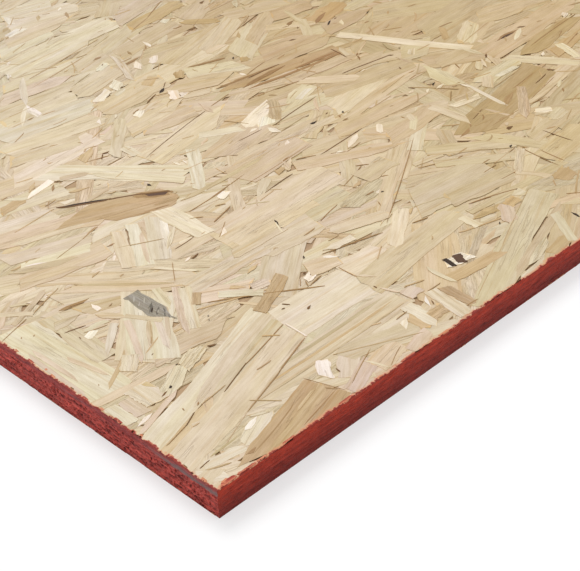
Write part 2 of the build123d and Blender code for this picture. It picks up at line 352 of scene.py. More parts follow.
    (275, 296, 330, 289.6, 2.04, "brown", "pp"), (300, 290.6, 330, 290, 0.81, "umber", "pp"),
    (288, 284, 330, 286.6, 4, "brown", "pp"), (334, 276, 372, 272.6, 2.55, "brown", "pp"),
    (372, 279, 369.6, 261, 0.71, "umber", "pp"), (377.6, 276, 372, 262, 4.6, "cream", "pc"),
    (375.6, 258, 380, 259.6, 1.24, "brown", "pp"), (336, 234, 340, 232.6, 1.24, "olive", "pp"),
    (333.6, 189, 337, 188, 0.99, "brown", "pp"), (356.6, 190.6, 362.4, 193, 3.2, "white", "pp"),
    (363, 197.6, 365, 193, 1.12, "umber", "pp"), (364.6, 183.6, 370.6, 186, 3, "white", "pp"),
    (373.6, 182, 382, 182, 3.4, "white", "pp"), (376, 187.4, 380.6, 189.4, 1.53, "bark", "pp"),
    (390, 164, 391, 175, 3, "white", "pp"), (330, 164, 334, 172.6, 5, "cream", "rr"),
    (336, 171, 342, 171.8, 0.74, "olive", "pp"), (160, 204, 232, 204, 3.5, "olive", "pp"),
    (175, 193, 208, 198, 0.45, "brown", "pp"), (178, 267, 179, 282, 7, "cream", "sr"),
    (186, 267, 193, 269, 4, "sand", "pp"), (210, 288, 213, 296, 2, "cream", "pp"),
    (212, 306, 219, 311, 6, "white", "rz"), (214, 246, 224, 249, 2, "pink", "pp"),
    (249, 309, 258, 305, 6.8, "white", "sp"), (251, 272, 251, 288, 4, "pink", "pp"),
    (188, 244, 189, 236, 3, "white", "pp"), (192, 234, 194, 241, 2, "white", "pp"),
    (393, 292, 439, 204, 9.5, "white", "cc"), (407, 299.6, 412, 308, 3.4, "white", "pp"),
    # Far left and far up
    (246, 305, 253, 318, 7.65, "white", "rr"), (251.6, 306, 252.2, 309.4, 1.12, "umber", "pp"),
    (229, 316, 242, 321.6, 0.98, "umber", "pp"), (245, 321, 252, 324.6, 2.38, "bark", "pp"),
    (251.6, 324.6, 258, 330, 0.67, "umber", "pp"), (213, 312, 220, 314, 0.53, "brown", "pp"),
    (188, 318, 192, 323.4, 4, "white", "pp"), (201, 316, 206, 320, 4, "cream", "pp"),
    (222, 341, 233, 345, 5, "cream", "rr"), (208, 343, 224, 351, 6.8, "white", "zs"),
    (227, 349, 237.6, 356, 8.5, "white", "ss"), (246, 336, 258, 343, 8, "golden", "cc"),
    (250, 344, 259, 338, 0.71, "brown", "pp"), (170, 357, 170, 374, 5.95, "white", "rz"),
    (159.6, 358, 165.6, 358.6, 1.24, "brown", "pp"), (151.6, 363, 154, 363.6, 0.99, "brown", "pp"),
    (152, 354, 172, 376, 3.4, "cream", "pp"), (172, 376, 196, 413, 5, "cream", "pp"),
    (154, 371.6, 180, 372, 0.53, "tan", "pp"), (238, 380, 250, 384.4, 5.95, "white", "rs"),
    (245, 384, 247.6, 385.6, 0.99, "umber", "pp"), (255.6, 372, 261.6, 392, 5, "white", "sp"),
    (259, 361, 267.6, 370, 6, "white", "sp"), (272, 359, 279.4, 367, 6, "white", "rz"),
    (256, 372.6, 272, 374.4, 2.21, "brown", "pp"), (244, 350, 262, 392, 6, "cream", "pp"),
    (256, 377.4, 268, 378, 0.71, "tan", "pp"), (271, 381.6, 272, 388.6, 2.04, "brown", "pp"),
    (283.6, 380, 287.6, 386.6, 2.04, "brown", "pp"), (289, 380, 290, 392.4, 2.8, "white", "pp"),
    (247, 395, 254, 397, 4.4, "brown", "pp"), (225, 390, 232, 398.6, 0.58, "tan", "pp"),
    (198, 407, 262, 420, 0.81, "tan", "pp"), (190, 394, 246, 405.4, 0.63, "tan", "pp"),
    (210, 374, 232, 381, 0.53, "olive", "pp"), (189, 417.6, 194, 424.6, 4.4, "white", "pp"),
    (200, 435, 206, 441.6, 4.4, "white", "pp"), (215, 450, 232, 456.4, 0.71, "tan", "pp"),
    (241, 443, 252, 450, 0.63, "olive", "pp"), (251, 450, 266, 443.6, 0.63, "olive", "pp"),
    (255, 418, 271, 420.4, 0.63, "tan", "pp"), (298, 413, 320, 421, 0.71, "brown", "pp"),
    (319, 420.6, 347.6, 437, 0.89, "brown", "pp"), (322, 413.6, 352, 425.6, 0.53, "tan", "pp"),
    (332, 395.6, 352, 376, 8, "golden", "rr"), (364, 409, 368.4, 412.6, 2.89, "umber", "rp"),
    (321, 405, 328.6, 408.4, 6, "white", "rz"), (300, 437.6, 301, 444, 3.06, "brown", "pp"),
    (300.6, 376, 312, 371, 0.89, "olive", "pp"), (302, 295, 302.4, 301.6, 4.4, "white", "pp"),
    (304, 295.4, 326, 300.4, 0.63, "brown", "pp"), (292, 335, 297.6, 341.4, 2.8, "cream", "pp"),
    (308, 342, 326, 343.6, 6, "cream", "rr"), (269, 327, 275, 336, 7, "golden", "rz"),
    (317, 316, 322.6, 313, 7, "golden", "sr"), (314, 320.6, 316.4, 323.4, 1.7, "bark", "pp"),
    (284, 335, 312, 326.4, 2.21, "brown", "pp"), (340.6, 343, 348.6, 350.6, 3, "golden", "pp"),
    (345, 316, 362, 312.6, 0.63, "olive", "pp"), (361, 312, 367.6, 309, 2.55, "umber", "pp"),
    (380, 331, 389, 333.8, 3.23, "brown", "rp"), (380.6, 321, 383.4, 323.4, 1.24, "umber", "pp"),
    (377, 307, 395, 331, 7, "cream", "cs"), (389, 320, 398, 352, 4, "cream", "pp"),
    (396, 318, 415, 325.6, 4, "brown", "pp"), (399.6, 308, 406.6, 312.4, 1.53, "bark", "pp"),
    (410, 312, 413.6, 312.6, 1.24, "umber", "pp"), (376, 382.6, 386.4, 396, 4.4, "cream", "pp"),
    (350, 354, 374, 367.6, 0.49, "olive", "pp"), (360, 358, 374, 366, 0.45, "brown", "pp"),
    (378.6, 375, 380, 380, 1.24, "olive", "pp"), (244, 491, 249.6, 503.6, 5.95, "white", "ss"),
    (228, 476, 245, 478.4, 6.8, "white", "rz"), (226.6, 472, 229.6, 475, 2.38, "brown", "pp"),
    (232, 485, 240, 490.4, 4, "tan", "pp"), (242.6, 490, 253.6, 500.6, 0.67, "tan", "pp"),
    (262, 479.6, 267.6, 489, 3, "tan", "pp"), (280, 467, 285.4, 477.4, 2.38, "brown", "pp"),
    (283, 482, 288.4, 487.6, 3, "white", "pp"), (284.6, 494.6, 296, 500, 3, "tan", "pp"),
    # Paint and stain that ran over the arris
    (3, 1.2, 13, 1.6, 2.4, "paint", "rr"), (14, 0.8, 26, 1, 1.8, "paint", "rr"),
    (5, 2.6, 9, 3, 1, "stain", "rr"), (27, 1, 33, 1.1, 1.2, "stain", "rr"),
    (44, 0.9, 52, 1, 1.2, "paint", "rr"), (60, 0.8, 66, 0.9, 1.3, "stain", "rr"),
    (83, 0.8, 94, 1.1, 1.6, "paint", "rr"), (110, 0.7, 116, 0.9, 1.2, "stain", "rr"),
    (130, 0.9, 141, 1, 1.5, "paint", "rr"), (160, 0.7, 168, 0.8, 1.2, "stain", "rr"),
    (0.8, 8, 1, 12, 1.5, "stain", "rr"), (1, 22, 1.2, 25, 1, "umber", "rr"),
    (1.2, 32, 1.4, 35, 1.7, "stain", "rr"), (0.8, 47, 1, 51, 1.4, "paint", "rr"),
    (1.6, 55, 1.9, 57, 1.4, "stain", "rr"), (0.9, 70, 1.1, 76, 1.6, "paint", "rr"),
    (1.4, 84, 1.6, 87, 1.2, "stain", "rr"), (0.8, 96, 0.9, 101, 1.4, "paint", "rr"),
    (1.2, 108, 1.3, 111, 1.6, "umber", "rr"), (0.9, 123, 1.1, 127, 1.5, "stain", "rr"),
    (1.8, 131, 2.2, 133, 1.2, "stain", "rr"), (0.8, 141, 1, 146, 1.6, "paint", "rr"),
    (1.4, 155, 1.6, 158, 1.2, "stain", "rr"),
]

# How the rest of the face is laid up
layUp = {
    "cell": 1.5,            # the squares in which it is noted what is covered and how deep
    "step": 0.022,          # how far a strand lies below the lowest one that crosses over it
    "deepest": 0.55,
    "strandThickness": 0.3,
    "spread": 24.0,         # degrees that most strands lie off the sheet's length
    "strayShare": 0.14,     # strands that lie any way
    "markSpacing": 44.0,    # one small chip, pit or crack in a square of this side
    "cutShare": 0.6,        # strands that have split off narrower on one side
    "alike": 0.44,          # how far the tones of the rest are drawn to the common one
    "alikeFar": 0.14,       # and how much farther across the sheet
    "luck": 3,              # another whole number gives the listed ones other ends and bends
    "edgeWide": 45.0,       # this near to the sawn edges all strands come up to the surface
    "sweeps": 14,           # rounds in which bare squares are picked and covered
    "largeSweeps": 5,       # the first of them take large strands more often
    "picks": 900,           # squares picked in a round
    "fewestNew": 2,         # bare squares that a strand has to cover there
}

# Short fine creases over the strands near the corner, fewest close to it: thin golden-brown strands, their
# darker tone partly the wood's and partly painted shade along the creases
creases = {
    "count": 420,
    "edge": 16.0,           # how far they keep from the sawn edges
    "shortest": 3.0,
    "longer": 15.0,         # the most that is added to it
    "thinnest": 0.4,
    "widest": 0.9,
    "widerFar": 0.5,        # added to both along the sheet
    "turn": 34.0,           # degrees off the sheet's length
    "bow": 0.4,
    "leastShare": 0.2,      # of them that stay at the corner
    "tones": {"golden": 0.38, "tan": 0.3, "rust": 0.26, "brown": 0.06},
}

# the shortest and longest, the thinnest and widest, and how many of a hundred
topSizes = [
    ((70, 150), (9, 27), 44),
    ((35, 90), (4, 14), 33),
    ((9, 36), (1.8, 7), 23),
]
underSizes = [
    ((80, 160), (14, 32), 70),
    ((35, 90), (8, 18), 30),
]

toneShares = {
    "cream": 22, "straw": 30, "sand": 24, "olive": 6, "pink": 8, "golden": 5, "tan": 3.5,
    "white": 1.0, "brown": 0.5,
}

# the small marks: tone, ends, shortest and longest, thinnest and widest, and each kind's share. The thin
# brown ones stand for cracks and the small umber ones for pits, their dark tone painted shade.
markKinds = [
    ("white", "rs", 4, 15, 1.2, 4, 22),
    ("cream", "rz", 8, 28, 1.2, 3.4, 20),
    ("brown", "pp", 5, 26, 0.5, 1.1, 16),
    ("umber", "pp", 2, 8, 0.6, 1.3, 6),
    ("bark", "rp", 1.5, 4, 1, 2.0, 2),
    ("golden", "pp", 12, 60, 0.8, 2.6, 24),
    ("tan", "pp", 10, 45, 0.6, 1.4, 14),
]

# what is noted of each strand as a number
columnNames = [
    "x", "y", "angle", "halfLong", "halfWide", "taperA", "taperB", "slantA", "slantB", "tipA", "tipB",
    "rag", "bow", "depth", "hand", "figure", "coarse", "cutAt", "cutBy", "cutSide", "cutEnd",
    "nickAt", "nickBy", "nickSide", "nickEnd",
]

# how far each end narrows and how far it slants, as shares
endShapes = {"c": (0.0, 0.06), "s": (0.0, 0.55), "z": (0.0, -0.55), "p": (0.6, 0.25), "r": (0.12, 0.0)}


# The part of the top seen close up, as a corner of the sheet cut off aslant
seenCorner = {"along": 590.0, "across": 560.0, "slope": 0.85, "reach": 740.0}


def inView(x, y):
    alongIn = x + halfLength
    acrossIn = y + halfWidth
    nearCut = alongIn + seenCorner["slope"] * acrossIn < seenCorner["reach"]
    return (alongIn < seenCorner["along"]) & (acrossIn < seenCorner["across"]) & nearCut


# Painted shade: away from the corner the wood is darkened, and along the sheet made warmer too, standing in
# for the light that falls off away from the corner: the shares of red, green and blue that go, and the
# distances from the corner over which they do. Farther off all of it is alike.
lightFalloff = {
    "along": (0.135, 0.18, 0.30),
    "alongSpan": (140.0, 410.0),
    "alongLess": 0.6,       # the share of it that is lost again across the sheet
    "lessSpan": (360.0, 520.0),
    "across": (0.09, 0.065, 0.035),
    "acrossSpan": (290.0, 480.0),
    "both": (0.07, 0.10, 0.13),
    "bothSpan": (180.0, 330.0),
    "farTone": (0.855, 0.835, 0.775),
    "farSpan": (720.0, 1150.0),
}


# What the tones are multiplied by at a place: the painted falloff of the light
def drift(x, y):
    alongIn = x + halfLength
    acrossIn = y + halfWidth
    lost = lightFalloff["alongLess"] * ramp(acrossIn, *lightFalloff["lessSpan"])
    along = ramp(alongIn, *lightFalloff["alongSpan"]) * (1.0 - lost)
    across = ramp(acrossIn, *lightFalloff["acrossSpan"])
    both = along * ramp(acrossIn, *lightFalloff["bothSpan"])
    factor = 1.0 - along * np.array(lightFalloff["along"])
    factor = factor * (1.0 - across * np.array(lightFalloff["across"]))
    factor = factor * (1.0 - both * np.array(lightFalloff["both"]))
    off = ramp(alongIn + seenCorner["slope"] * acrossIn, *lightFalloff["farSpan"])
    return factor + (np.array(lightFalloff["farTone"]) - factor) * off


# Everything that is noted of one strand. Hand is 1 for one from the given list and 0 for the rest.
def newStrand(rng, x, y, angle, long, wide, tone, ends, bow, hand):
    calm = hand * wide > 9          # the broad listed ones are smoother
    tapers = []
    slants = []
    for end in ends:
        taper, slant = endShapes[end]
        tapers.append(taper * min(long, wide * rng.uniform(1.2, 4.5), 12.0 + wide * rng.uniform(0.6, 1.6)))
        slants.append(slant + rng.uniform(-0.12, 0.12) + (rng.uniform(-0.6, 0.6) if end == "p" else 0.0))
    colour = np.array(tones[tone])
    if tone in toneShares and wide > 2:
        farAcross = ramp(y + halfWidth, *lightFalloff["acrossSpan"])
        alike = layUp["alike"] * (1.0 - hand) + layUp["alikeFar"] * farAcross
        colour = colour + (np.array(tones["straw"]) - colour) * alike
    colour = colour * (1.0 + rng.normal(0.0, 0.03)) * (1.0 + rng.normal(0.0, 0.012, 3))
    # painted shade: the falloff of the light away from the corner is multiplied into the tone
    colour = colour * drift(x, y)
    crinkled = 1.0
    if tone != "grey":
        crinkled = rng.random() ** 2 * min(1.0, wide / 5.0) * (1.0 - 0.7 * calm)
    split = wide > 4 and rng.random() < layUp["cutShare"] * (1.0 - 0.9 * hand)
    nick = wide > 6 and rng.random() < layUp["cutShare"] * (1.0 - 0.9 * hand)
    return {"x": x, "y": y, "angle": angle, "halfLong": long / 2, "halfWide": wide / 2,
            "taperA": tapers[0], "taperB": tapers[1], "slantA": slants[0], "slantB": slants[1],
            "tipA": rng.uniform(-1, 1), "tipB": rng.uniform(-1, 1),
            "rag": 0.22 if "r" in ends else 0.05, "bow": bow, "depth": 0.0, "hand": hand, "colour": colour,
            "figure": rng.random() ** 2 * (1.0 - 0.5 * calm), "coarse": crinkled,
            "cutAt": rng.uniform(-0.4, 0.4) * long, "cutBy": rng.uniform(0.12, 0.5) * split,
            "cutSide": rng.choice([-1.0, 1.0]), "cutEnd": rng.choice([-1.0, 1.0]),
            "nickAt": rng.uniform(-0.4, 0.4) * long, "nickBy": rng.uniform(0.06, 0.3) * nick,
            "nickSide": rng.choice([-1.0, 1.0]), "nickEnd": rng.choice([-1.0, 1.0])}


# What is left of the half width on one side after the two splits: beyond each one's place,
# toward its end, the share that split off is gone
def leftWide(strand, run, side):
    kept = 1.0
    for name in ("cut", "nick"):
        beyond = ramp((run - strand[name + "At"]) * strand[name + "End"], 0.0, 1.2)
        kept = kept - strand[name + "By"] * beyond * (np.sign(side) == strand[name + "Side"])
    return kept


# The squares of the note that a strand's outline covers, its ends narrowed as on the strand
def footprint(strand, shape, grow):
    cell = layUp["cell"]
    along = np.array([math.cos(strand["angle"]), math.sin(strand["angle"])])
    reachX = abs(along[0]) * strand["halfLong"] + abs(along[1]) * strand["halfWide"] + grow
    reachY = abs(along[1]) * strand["halfLong"] + abs(along[0]) * strand["halfWide"] + grow
    firstX = max(0, int((strand["x"] - reachX + halfLength) / cell))
    lastX = min(shape[0], int((strand["x"] + reachX + halfLength) / cell) + 1)
    firstY = max(0, int((strand["y"] - reachY + halfWidth) / cell))
    lastY = min(shape[1], int((strand["y"] + reachY + halfWidth) / cell) + 1)
    if lastX <= firstX or lastY <= firstY:
        return None, None
    offX = ((np.arange(firstX, lastX) + 0.5) * cell - halfLength - strand["x"])[:, None]
    offY = ((np.arange(firstY, lastY) + 0.5) * cell - halfWidth - strand["y"])[None, :]
    run = offX * along[0] + offY * along[1]
    side = -offX * along[1] + offY * along[0]
    width = np.ones_like(run)
    if strand["taperA"] > 0:
        narrow = np.clip((run + strand["halfLong"]) / strand["taperA"], 0.05, 1)
        side = side - strand["tipA"] * (1 - narrow) * strand["halfWide"]
        width = width * narrow
    if strand["taperB"] > 0:
        narrow = np.clip((strand["halfLong"] - run) / strand["taperB"], 0.05, 1)
        side = side - strand["tipB"] * (1 - narrow) * strand["halfWide"]
        width = width * narrow
    width = width * leftWide(strand, run, side)
    inside = (np.abs(run) <= strand["halfLong"] + grow) & (np.abs(side) <= strand["halfWide"] * width + grow)
    return (slice(firstX, lastX), slice(firstY, lastY)), inside


# Lays one face from the top down. Each strand goes one step below the deepest strand that
# crosses over it, and strands are added where the face is still bare.
def layFace(byHand, sizes, bareShare, seed):
    rng = np.random.default_rng(seed)
    cell = layUp["cell"]
    shape = (int(2 * halfLength / cell) + 1, int(2 * halfWidth / cell) + 1)
    depths = np.zeros(shape, np.float32)
    covered = np.zeros(shape, bool)
    laid = []

    def lay(strand, leastNew):
        place, inside = footprint(strand, shape, 0.0)
        if place is None or not inside.any():
            if leastNew > 0:
                return False
            place, inside = footprint(strand, shape, cell)
        if place is None or (inside & ~covered[place]).sum() < leastNew:
            return False
        wider, widerInside = footprint(strand, shape, cell * 0.6)
        above = depths[wider][widerInside]
        deepest = above.max() if above.size else 0.0
        strand["depth"] = min(deepest + layUp["step"] * rng.uniform(0.8, 1.3), layUp["deepest"])
        depths[wider][widerInside] = strand["depth"]
        covered[place] |= inside
        laid.append(strand)
        return True

    def anyTurn():
        stray = rng.random() < layUp["strayShare"]
        return math.radians(rng.uniform(-90, 90) if stray else rng.normal(0.0, layUp["spread"]))

    fine = np.random.default_rng(seed + 1)
    for number in range(creases["count"] if byHand else 0):
        x = fine.uniform(creases["edge"], seenCorner["along"]) - halfLength
        y = fine.uniform(creases["edge"], seenCorner["across"]) - halfWidth
        long = creases["shortest"] + creases["longer"] * fine.random() ** 2
        wide = fine.uniform(creases["thinnest"], creases["widest"])
        wide = wide + creases["widerFar"] * ramp(x + halfLength, 250.0, 450.0)
        tone = fine.choice(list(creases["tones"]), p=list(creases["tones"].values()))
        turn = math.radians(fine.normal(0.0, creases["turn"]))
        fromCorner = ramp(x + halfLength + 2 * (y + halfWidth), 200.0, 700.0)
        kept = creases["leastShare"] + 0.8 * fromCorner
        if inView(x, y) and fine.random() < kept:
            bow = fine.normal(0, creases["bow"])
            lay(newStrand(fine, x, y, turn, long, wide, str(tone), "pp", bow, 0.0), 0)

    for x0, y0, x1, y1, wide, tone, ends in reversed(byHand):
        angle = math.atan2(y1 - y0, x1 - x0)
        long = math.hypot(x1 - x0, y1 - y0)
        # each draws its own luck from its place, so that moving one leaves the others as they are
        own = np.random.default_rng([layUp["luck"], round(10 * x0) + 9000, round(10 * y0) + 9000])
        bow = own.normal(0, 0.012) * long
        x = (x0 + x1) / 2 - halfLength
        y = (y0 + y1) / 2 - halfWidth
        lay(newStrand(own, x, y, angle, long, wide, tone, ends, bow, 1.0), 0)

    markChance = np.array([kind[6] for kind in markKinds], float)
    markChance /= markChance.sum()
    markCount = int(4 * halfLength * halfWidth / layUp["markSpacing"] ** 2) if byHand else 0
    for number in range(markCount):
        x, y = rng.uniform(-halfLength, halfLength), rng.uniform(-halfWidth, halfWidth)
        chosen = markKinds[rng.choice(len(markKinds), p=markChance)]
        tone, ends, shortest, longest, thinnest, widest = chosen[:6]
        if inView(x, y) and rng.random() < 0.45 + 0.4 * ramp(y + halfWidth, 230.0, 400.0):
            continue
        turn = anyTurn()
        long = rng.uniform(shortest, longest)
        wide = rng.uniform(thinnest, widest)
        lay(newStrand(rng, x, y, turn, long, wide, tone, ends, rng.normal(0, 0.3), 0.0), 0)

    toneNames = list(toneShares)
    toneChance = np.array([toneShares[name] for name in toneNames], float)
    toneChance /= toneChance.sum()
    sizeChance = np.array([size[2] for size in sizes], float)
    sizeChance /= sizeChance.sum()
    for sweep in range(layUp["sweeps"]):
        bareX, bareY = np.nonzero(~covered)
        if len(bareX) < bareShare * covered.size:
            break
        picks = rng.permutation(len(bareX))[:layUp["picks"]]
        for pick in picks:
            if covered[bareX[pick], bareY[pick]]:
                continue
            chance = sizeChance if sweep < layUp["largeSweeps"] else sizeChance[::-1]
            lengths, widths = sizes[rng.choice(len(sizes), p=chance)][:2]
            long = rng.uniform(*lengths)
            wide = rng.uniform(*widths)
            turn = anyTurn()
            slide = rng.uniform(-0.35, 0.35) * long
            x = (bareX[pick] + 0.5) * cell - halfLength + slide * math.cos(turn)
            y = (bareY[pick] + 0.5) * cell - halfWidth + slide * math.sin(turn)
            ends = "".join(rng.choice(list("ccsszzprrr"), 2))
            tone = toneNames[rng.choice(len(toneNames), p=toneChance)]
            strand = newStrand(rng, x, y, turn, long, wide, tone, ends, rng.normal(0, 1.2), 0.0)
            lay(strand, layUp["fewestNew"])
    print("face laid with", len(laid), "strands,", round(100 * (~covered).mean(), 2), "percent left bare")
    return laid


# A strand's shape. With s from -1 to 1 along it and t from -1 to 1 across it:
# the middle line is straight, plus bow times (1 - s squared) sideways;
# the half width is the full one times the narrowing of each pointed end, plus a smooth waver,
# and a point leans to one side by its own share of the width that is gone;
# what has split off leaves one side narrower beyond its place;
# each end is shifted along by its slant times t plus a ragged part;
# the rows that the saw cut crosses are shortened to it, and what is left over is pressed back;
# the top lies at the strand's depth, tilted and swollen by a few hundredths of a millimetre.
def strandShapes(table, alongCount, acrossCount, rng):
    count = len(table["x"])
    col = {name: table[name][:, None, None] for name in columnNames}
    s = np.linspace(-1, 1, alongCount + 1)
    s = np.sign(s) * (1 - (1 - np.abs(s)) ** 1.25)
    s = s[None, :, None]
    t = np.linspace(-1, 1, acrossCount + 1)[None, None, :]
    part = (s + 1) / 2
    cosine, sine = np.cos(col["angle"]), np.sin(col["angle"])
    ragA = rng.uniform(-1, 1, (count, 1, acrossCount + 1)) * col["rag"] * np.minimum(col["halfWide"] * 2, 12)
    ragB = rng.uniform(-1, 1, (count, 1, acrossCount + 1)) * col["rag"] * np.minimum(col["halfWide"] * 2, 12)
    startRun = -col["halfLong"] + col["slantA"] * t * col["halfWide"] + ragA
    endRun = col["halfLong"] + col["slantB"] * t * col["halfWide"] + ragB
    middle = (startRun + endRun) / 2
    startRun = np.minimum(startRun, middle - 0.3)
    endRun = np.maximum(endRun, middle + 0.3)

    # the saw cuts: each row runs from startRun to endRun, and is cut to the part inside the sheet
    inset = rng.uniform(0.0, 0.12, (count, 1, 1)) + 0.35 * (rng.random((count, 1, 1)) > 0.95)
    side = t * col["halfWide"]
    shortestRow = 0.1
    sawCuts = ((1, 0, halfLength), (-1, 0, halfLength), (0, 1, halfWidth), (0, -1, halfWidth))
    for normalX, normalY, limit in sawCuts:
        slope = normalX * cosine + normalY * sine
        atZero = limit - inset - normalX * (col["x"] - side * sine) - normalY * (col["y"] + side * cosine)
        steep = np.abs(slope) > 0.2
        crossing = atZero / np.where(steep, slope, 1.0)
        sooner = np.minimum(endRun, np.maximum(crossing, startRun + shortestRow))
        endRun = np.where(steep & (slope > 0), sooner, endRun)
        later = np.maximum(startRun, np.minimum(crossing, endRun - shortestRow))
        startRun = np.where(steep & (slope < 0), later, startRun)
    run = startRun * (1 - part) + endRun * part

    fromA = run - (-col["halfLong"])
    fromB = col["halfLong"] - run
    narrowA = np.where(col["taperA"] > 0, np.clip(fromA / np.maximum(col["taperA"], 1e-6), 0.04, 1), 1.0)
    narrowB = np.where(col["taperB"] > 0, np.clip(fromB / np.maximum(col["taperB"], 1e-6), 0.04, 1), 1.0)
    narrow = narrowA * narrowB
    lean = (col["tipA"] * (1 - narrowA) + col["tipB"] * (1 - narrowB)) * col["halfWide"]
    waver = rng.normal(0, 1, (count, alongCount + 1, 2))
    waver = (waver + np.roll(waver, 1, 1) + np.roll(waver, -1, 1)) / 3
    waver = np.minimum(1.1, 0.08 * col["halfWide"] * 2) * waver
    waver = waver[:, :, :1] * (1 - t) / 2 + waver[:, :, 1:] * (1 + t) / 2
    narrow = narrow * leftWide(col, run, t)
    sideways = side * narrow + lean + waver + col["bow"] * (1 - (run / col["halfLong"]) ** 2)
    x = col["x"] + run * cosine - sideways * sine
    y = col["y"] + run * sine + sideways * cosine
    limitX = halfLength - inset
    limitY = halfWidth - inset
    x = np.clip(x, -limitX, limitX)
    y = np.clip(y, -limitY, limitY)

    tilt = rng.uniform(-0.008, 0.008, (count, 1, 1)) * s + rng.uniform(-0.008, 0.008, (count, 1, 1)) * t
    swell = rng.normal(0, 0.003, (count, alongCount + 1, 1))
    # toward the sawn edges they all come up to the surface alike
    edge = np.minimum(halfLength - np.abs(x), halfWidth - np.abs(y))
    rise = 0.4 + 0.6 * np.clip(edge / layUp["edgeWide"], 0.0, 1.0)
    top = thickness - (col["depth"] - tilt - swell) * rise
    top = np.minimum(top, thickness - 0.01)
    bottom = np.broadcast_to(thickness - col["depth"] - layUp["strandThickness"], top[:, :, :1].shape)

    # the ring of points round each station: across the top, then back underneath
    px = np.concatenate([x, x[:, :, -1:], x[:, :, :1]], 2)
    py = np.concatenate([y, y[:, :, -1:], y[:, :, :1]], 2)
    pz = np.concatenate([np.broadcast_to(top, x.shape), bottom, bottom], 2)
    points = np.stack([px, py, pz], -1)

    sideGap = (1 - np.abs(t)) * col["halfWide"] * narrow
    if acrossCount == 1:
        sideGap = sideGap + 0.1 + 0.5 * col["halfWide"]
    endGap = np.minimum(run - startRun, endRun - run)
    sideGap = np.broadcast_to(sideGap, x.shape)
    zero = np.zeros_like(x[:, :, :1])
    gaps = np.stack([np.concatenate([sideGap, zero, zero], 2), np.concatenate([endGap, zero, zero], 2)], -1)

    # the rest of what the maps need: how far each point is along and across, laid out flat
    flat = {"along": run, "across": sideways, "wall": layUp["strandThickness"]}
    return points, gaps, flat


# Turns arrays of strand rings into one closed mesh: quads round each ring, and a cap at each
# end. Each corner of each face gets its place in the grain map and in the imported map.
def strandMesh(groups, flipped):
    parts = {key: [] for key in ("vertices", "loops", "starts", "grain", "packed", "gaps", "tones", "looks")}
    vertexStart = 0
    for points, gaps, flat, colours, looks, shift, packAt, packScale in groups:
        count, stations, ring = points.shape[:3]
        across = ring - 2
        index = np.arange(count * stations * ring).reshape(count, stations, ring) + vertexStart
        nextIndex = np.roll(index, -1, 2)
        quads = np.stack([index[:, :-1], index[:, 1:], nextIndex[:, 1:], nextIndex[:, :-1]], -1)
        # where each column of the ring lies when it is laid flat: the top, one wall, the underside
        # as a narrow strip, and the other wall on the first side
        run = np.broadcast_to(flat["along"], flat["across"].shape)
        side = flat["across"]
        wall = flat["wall"]
        lowA = side[:, :, :1] - wall
        lowB = side[:, :, -1:] + wall
        strip = side[:, :, -1:] + 2 * wall
        leftAcross = np.concatenate([side, lowB, lowA], 2)
        rightAcross = np.concatenate([side[:, :, 1:], lowB, strip, side[:, :, :1]], 2)
        leftRun = np.concatenate([run, run[:, :, -1:], run[:, :, :1]], 2)
        rightRun = np.concatenate([run[:, :, 1:], run[:, :, -1:], run[:, :, -1:], run[:, :, :1]], 2)
        left = np.stack([leftRun, leftAcross], -1)
        right = np.stack([rightRun, rightAcross], -1)
        quadMap = np.stack([left[:, :-1], left[:, 1:], right[:, 1:], right[:, :-1]], -2)
        capA = index[:, 0, :]
        capB = index[:, -1, ::-1]
        top = np.stack([run, side], -1)
        capMapA = np.concatenate([top[:, 0], top[:, 0, -1:] + (-wall, 0), top[:, 0, :1] + (-wall, 0)], 1)
        capMapB = np.concatenate(
            [top[:, -1, :1] + (wall, 0), top[:, -1, -1:] + (wall, 0), top[:, -1, ::-1]], 1)
        loops = np.concatenate([quads.reshape(count, -1), capA, capB], 1)
        loopMap = np.concatenate([quadMap.reshape(count, -1, 2), capMapA, capMapB], 1)
        sizes = np.concatenate([np.full(quads.shape[1] * ring, 4), [ring, ring]])
        starts = np.concatenate([[0], np.cumsum(sizes)[:-1]])
        loopBase = sum(len(part) for part in parts["loops"])
        parts["vertices"].append(points.reshape(-1, 3))
        parts["loops"].append(loops.ravel())
        firstLoops = loopBase + np.arange(count)[:, None] * loops.shape[1]
        parts["starts"].append((starts[None, :] + firstLoops).ravel())
        parts["grain"].append((loopMap + shift[:, None, :]).reshape(-1, 2))
        parts["packed"].append((loopMap * packScale[:, None, None] + packAt[:, None, :]).reshape(-1, 2))
        parts["gaps"].append(gaps.reshape(-1, 2))
        parts["tones"].append(np.repeat(colours, stations * ring, 0))
        parts["looks"].append(np.repeat(looks, stations * ring, 0))
        vertexStart += index.size
    data = {key: np.concatenate(some) for key, some in parts.items()}
    if flipped:
        x, y, z = data["vertices"].T
        data["vertices"] = np.stack([x, -y, thickness - z], -1)
    data["vertices"] = data["vertices"] * metre
    return data


def meshObject(name, data):
    mesh = bpy.data.meshes.new(name)
    mesh.vertices.add(len(data["vertices"]))
    mesh.vertices.foreach_set("co", data["vertices"].astype(np.float32).ravel())
    mesh.loops.add(len(data["loops"]))
    mesh.loops.foreach_set("vertex_index", data["loops"].astype(np.int32))
    mesh.polygons.add(len(data["starts"]))
    mesh.polygons.foreach_set("loop_start", data["starts"].astype(np.int32))
    for label, key in (("OFBake", "packed"), ("grain", "grain")):
        layer = mesh.uv_layers.new(name=label)
        layer.data.foreach_set("uv", data[key].astype(np.float32).ravel())
    mesh.update(calc_edges=True)
    mesh.shade_flat()
    piece = bpy.data.objects.new(name, mesh)
    bpy.context.scene.collection.objects.link(piece)
    return piece


def addValue(piece, name, values):
    layer = piece.data.attributes.new(name, "FLOAT", "POINT")
    layer.data.foreach_set("value", values.astype(np.float32))


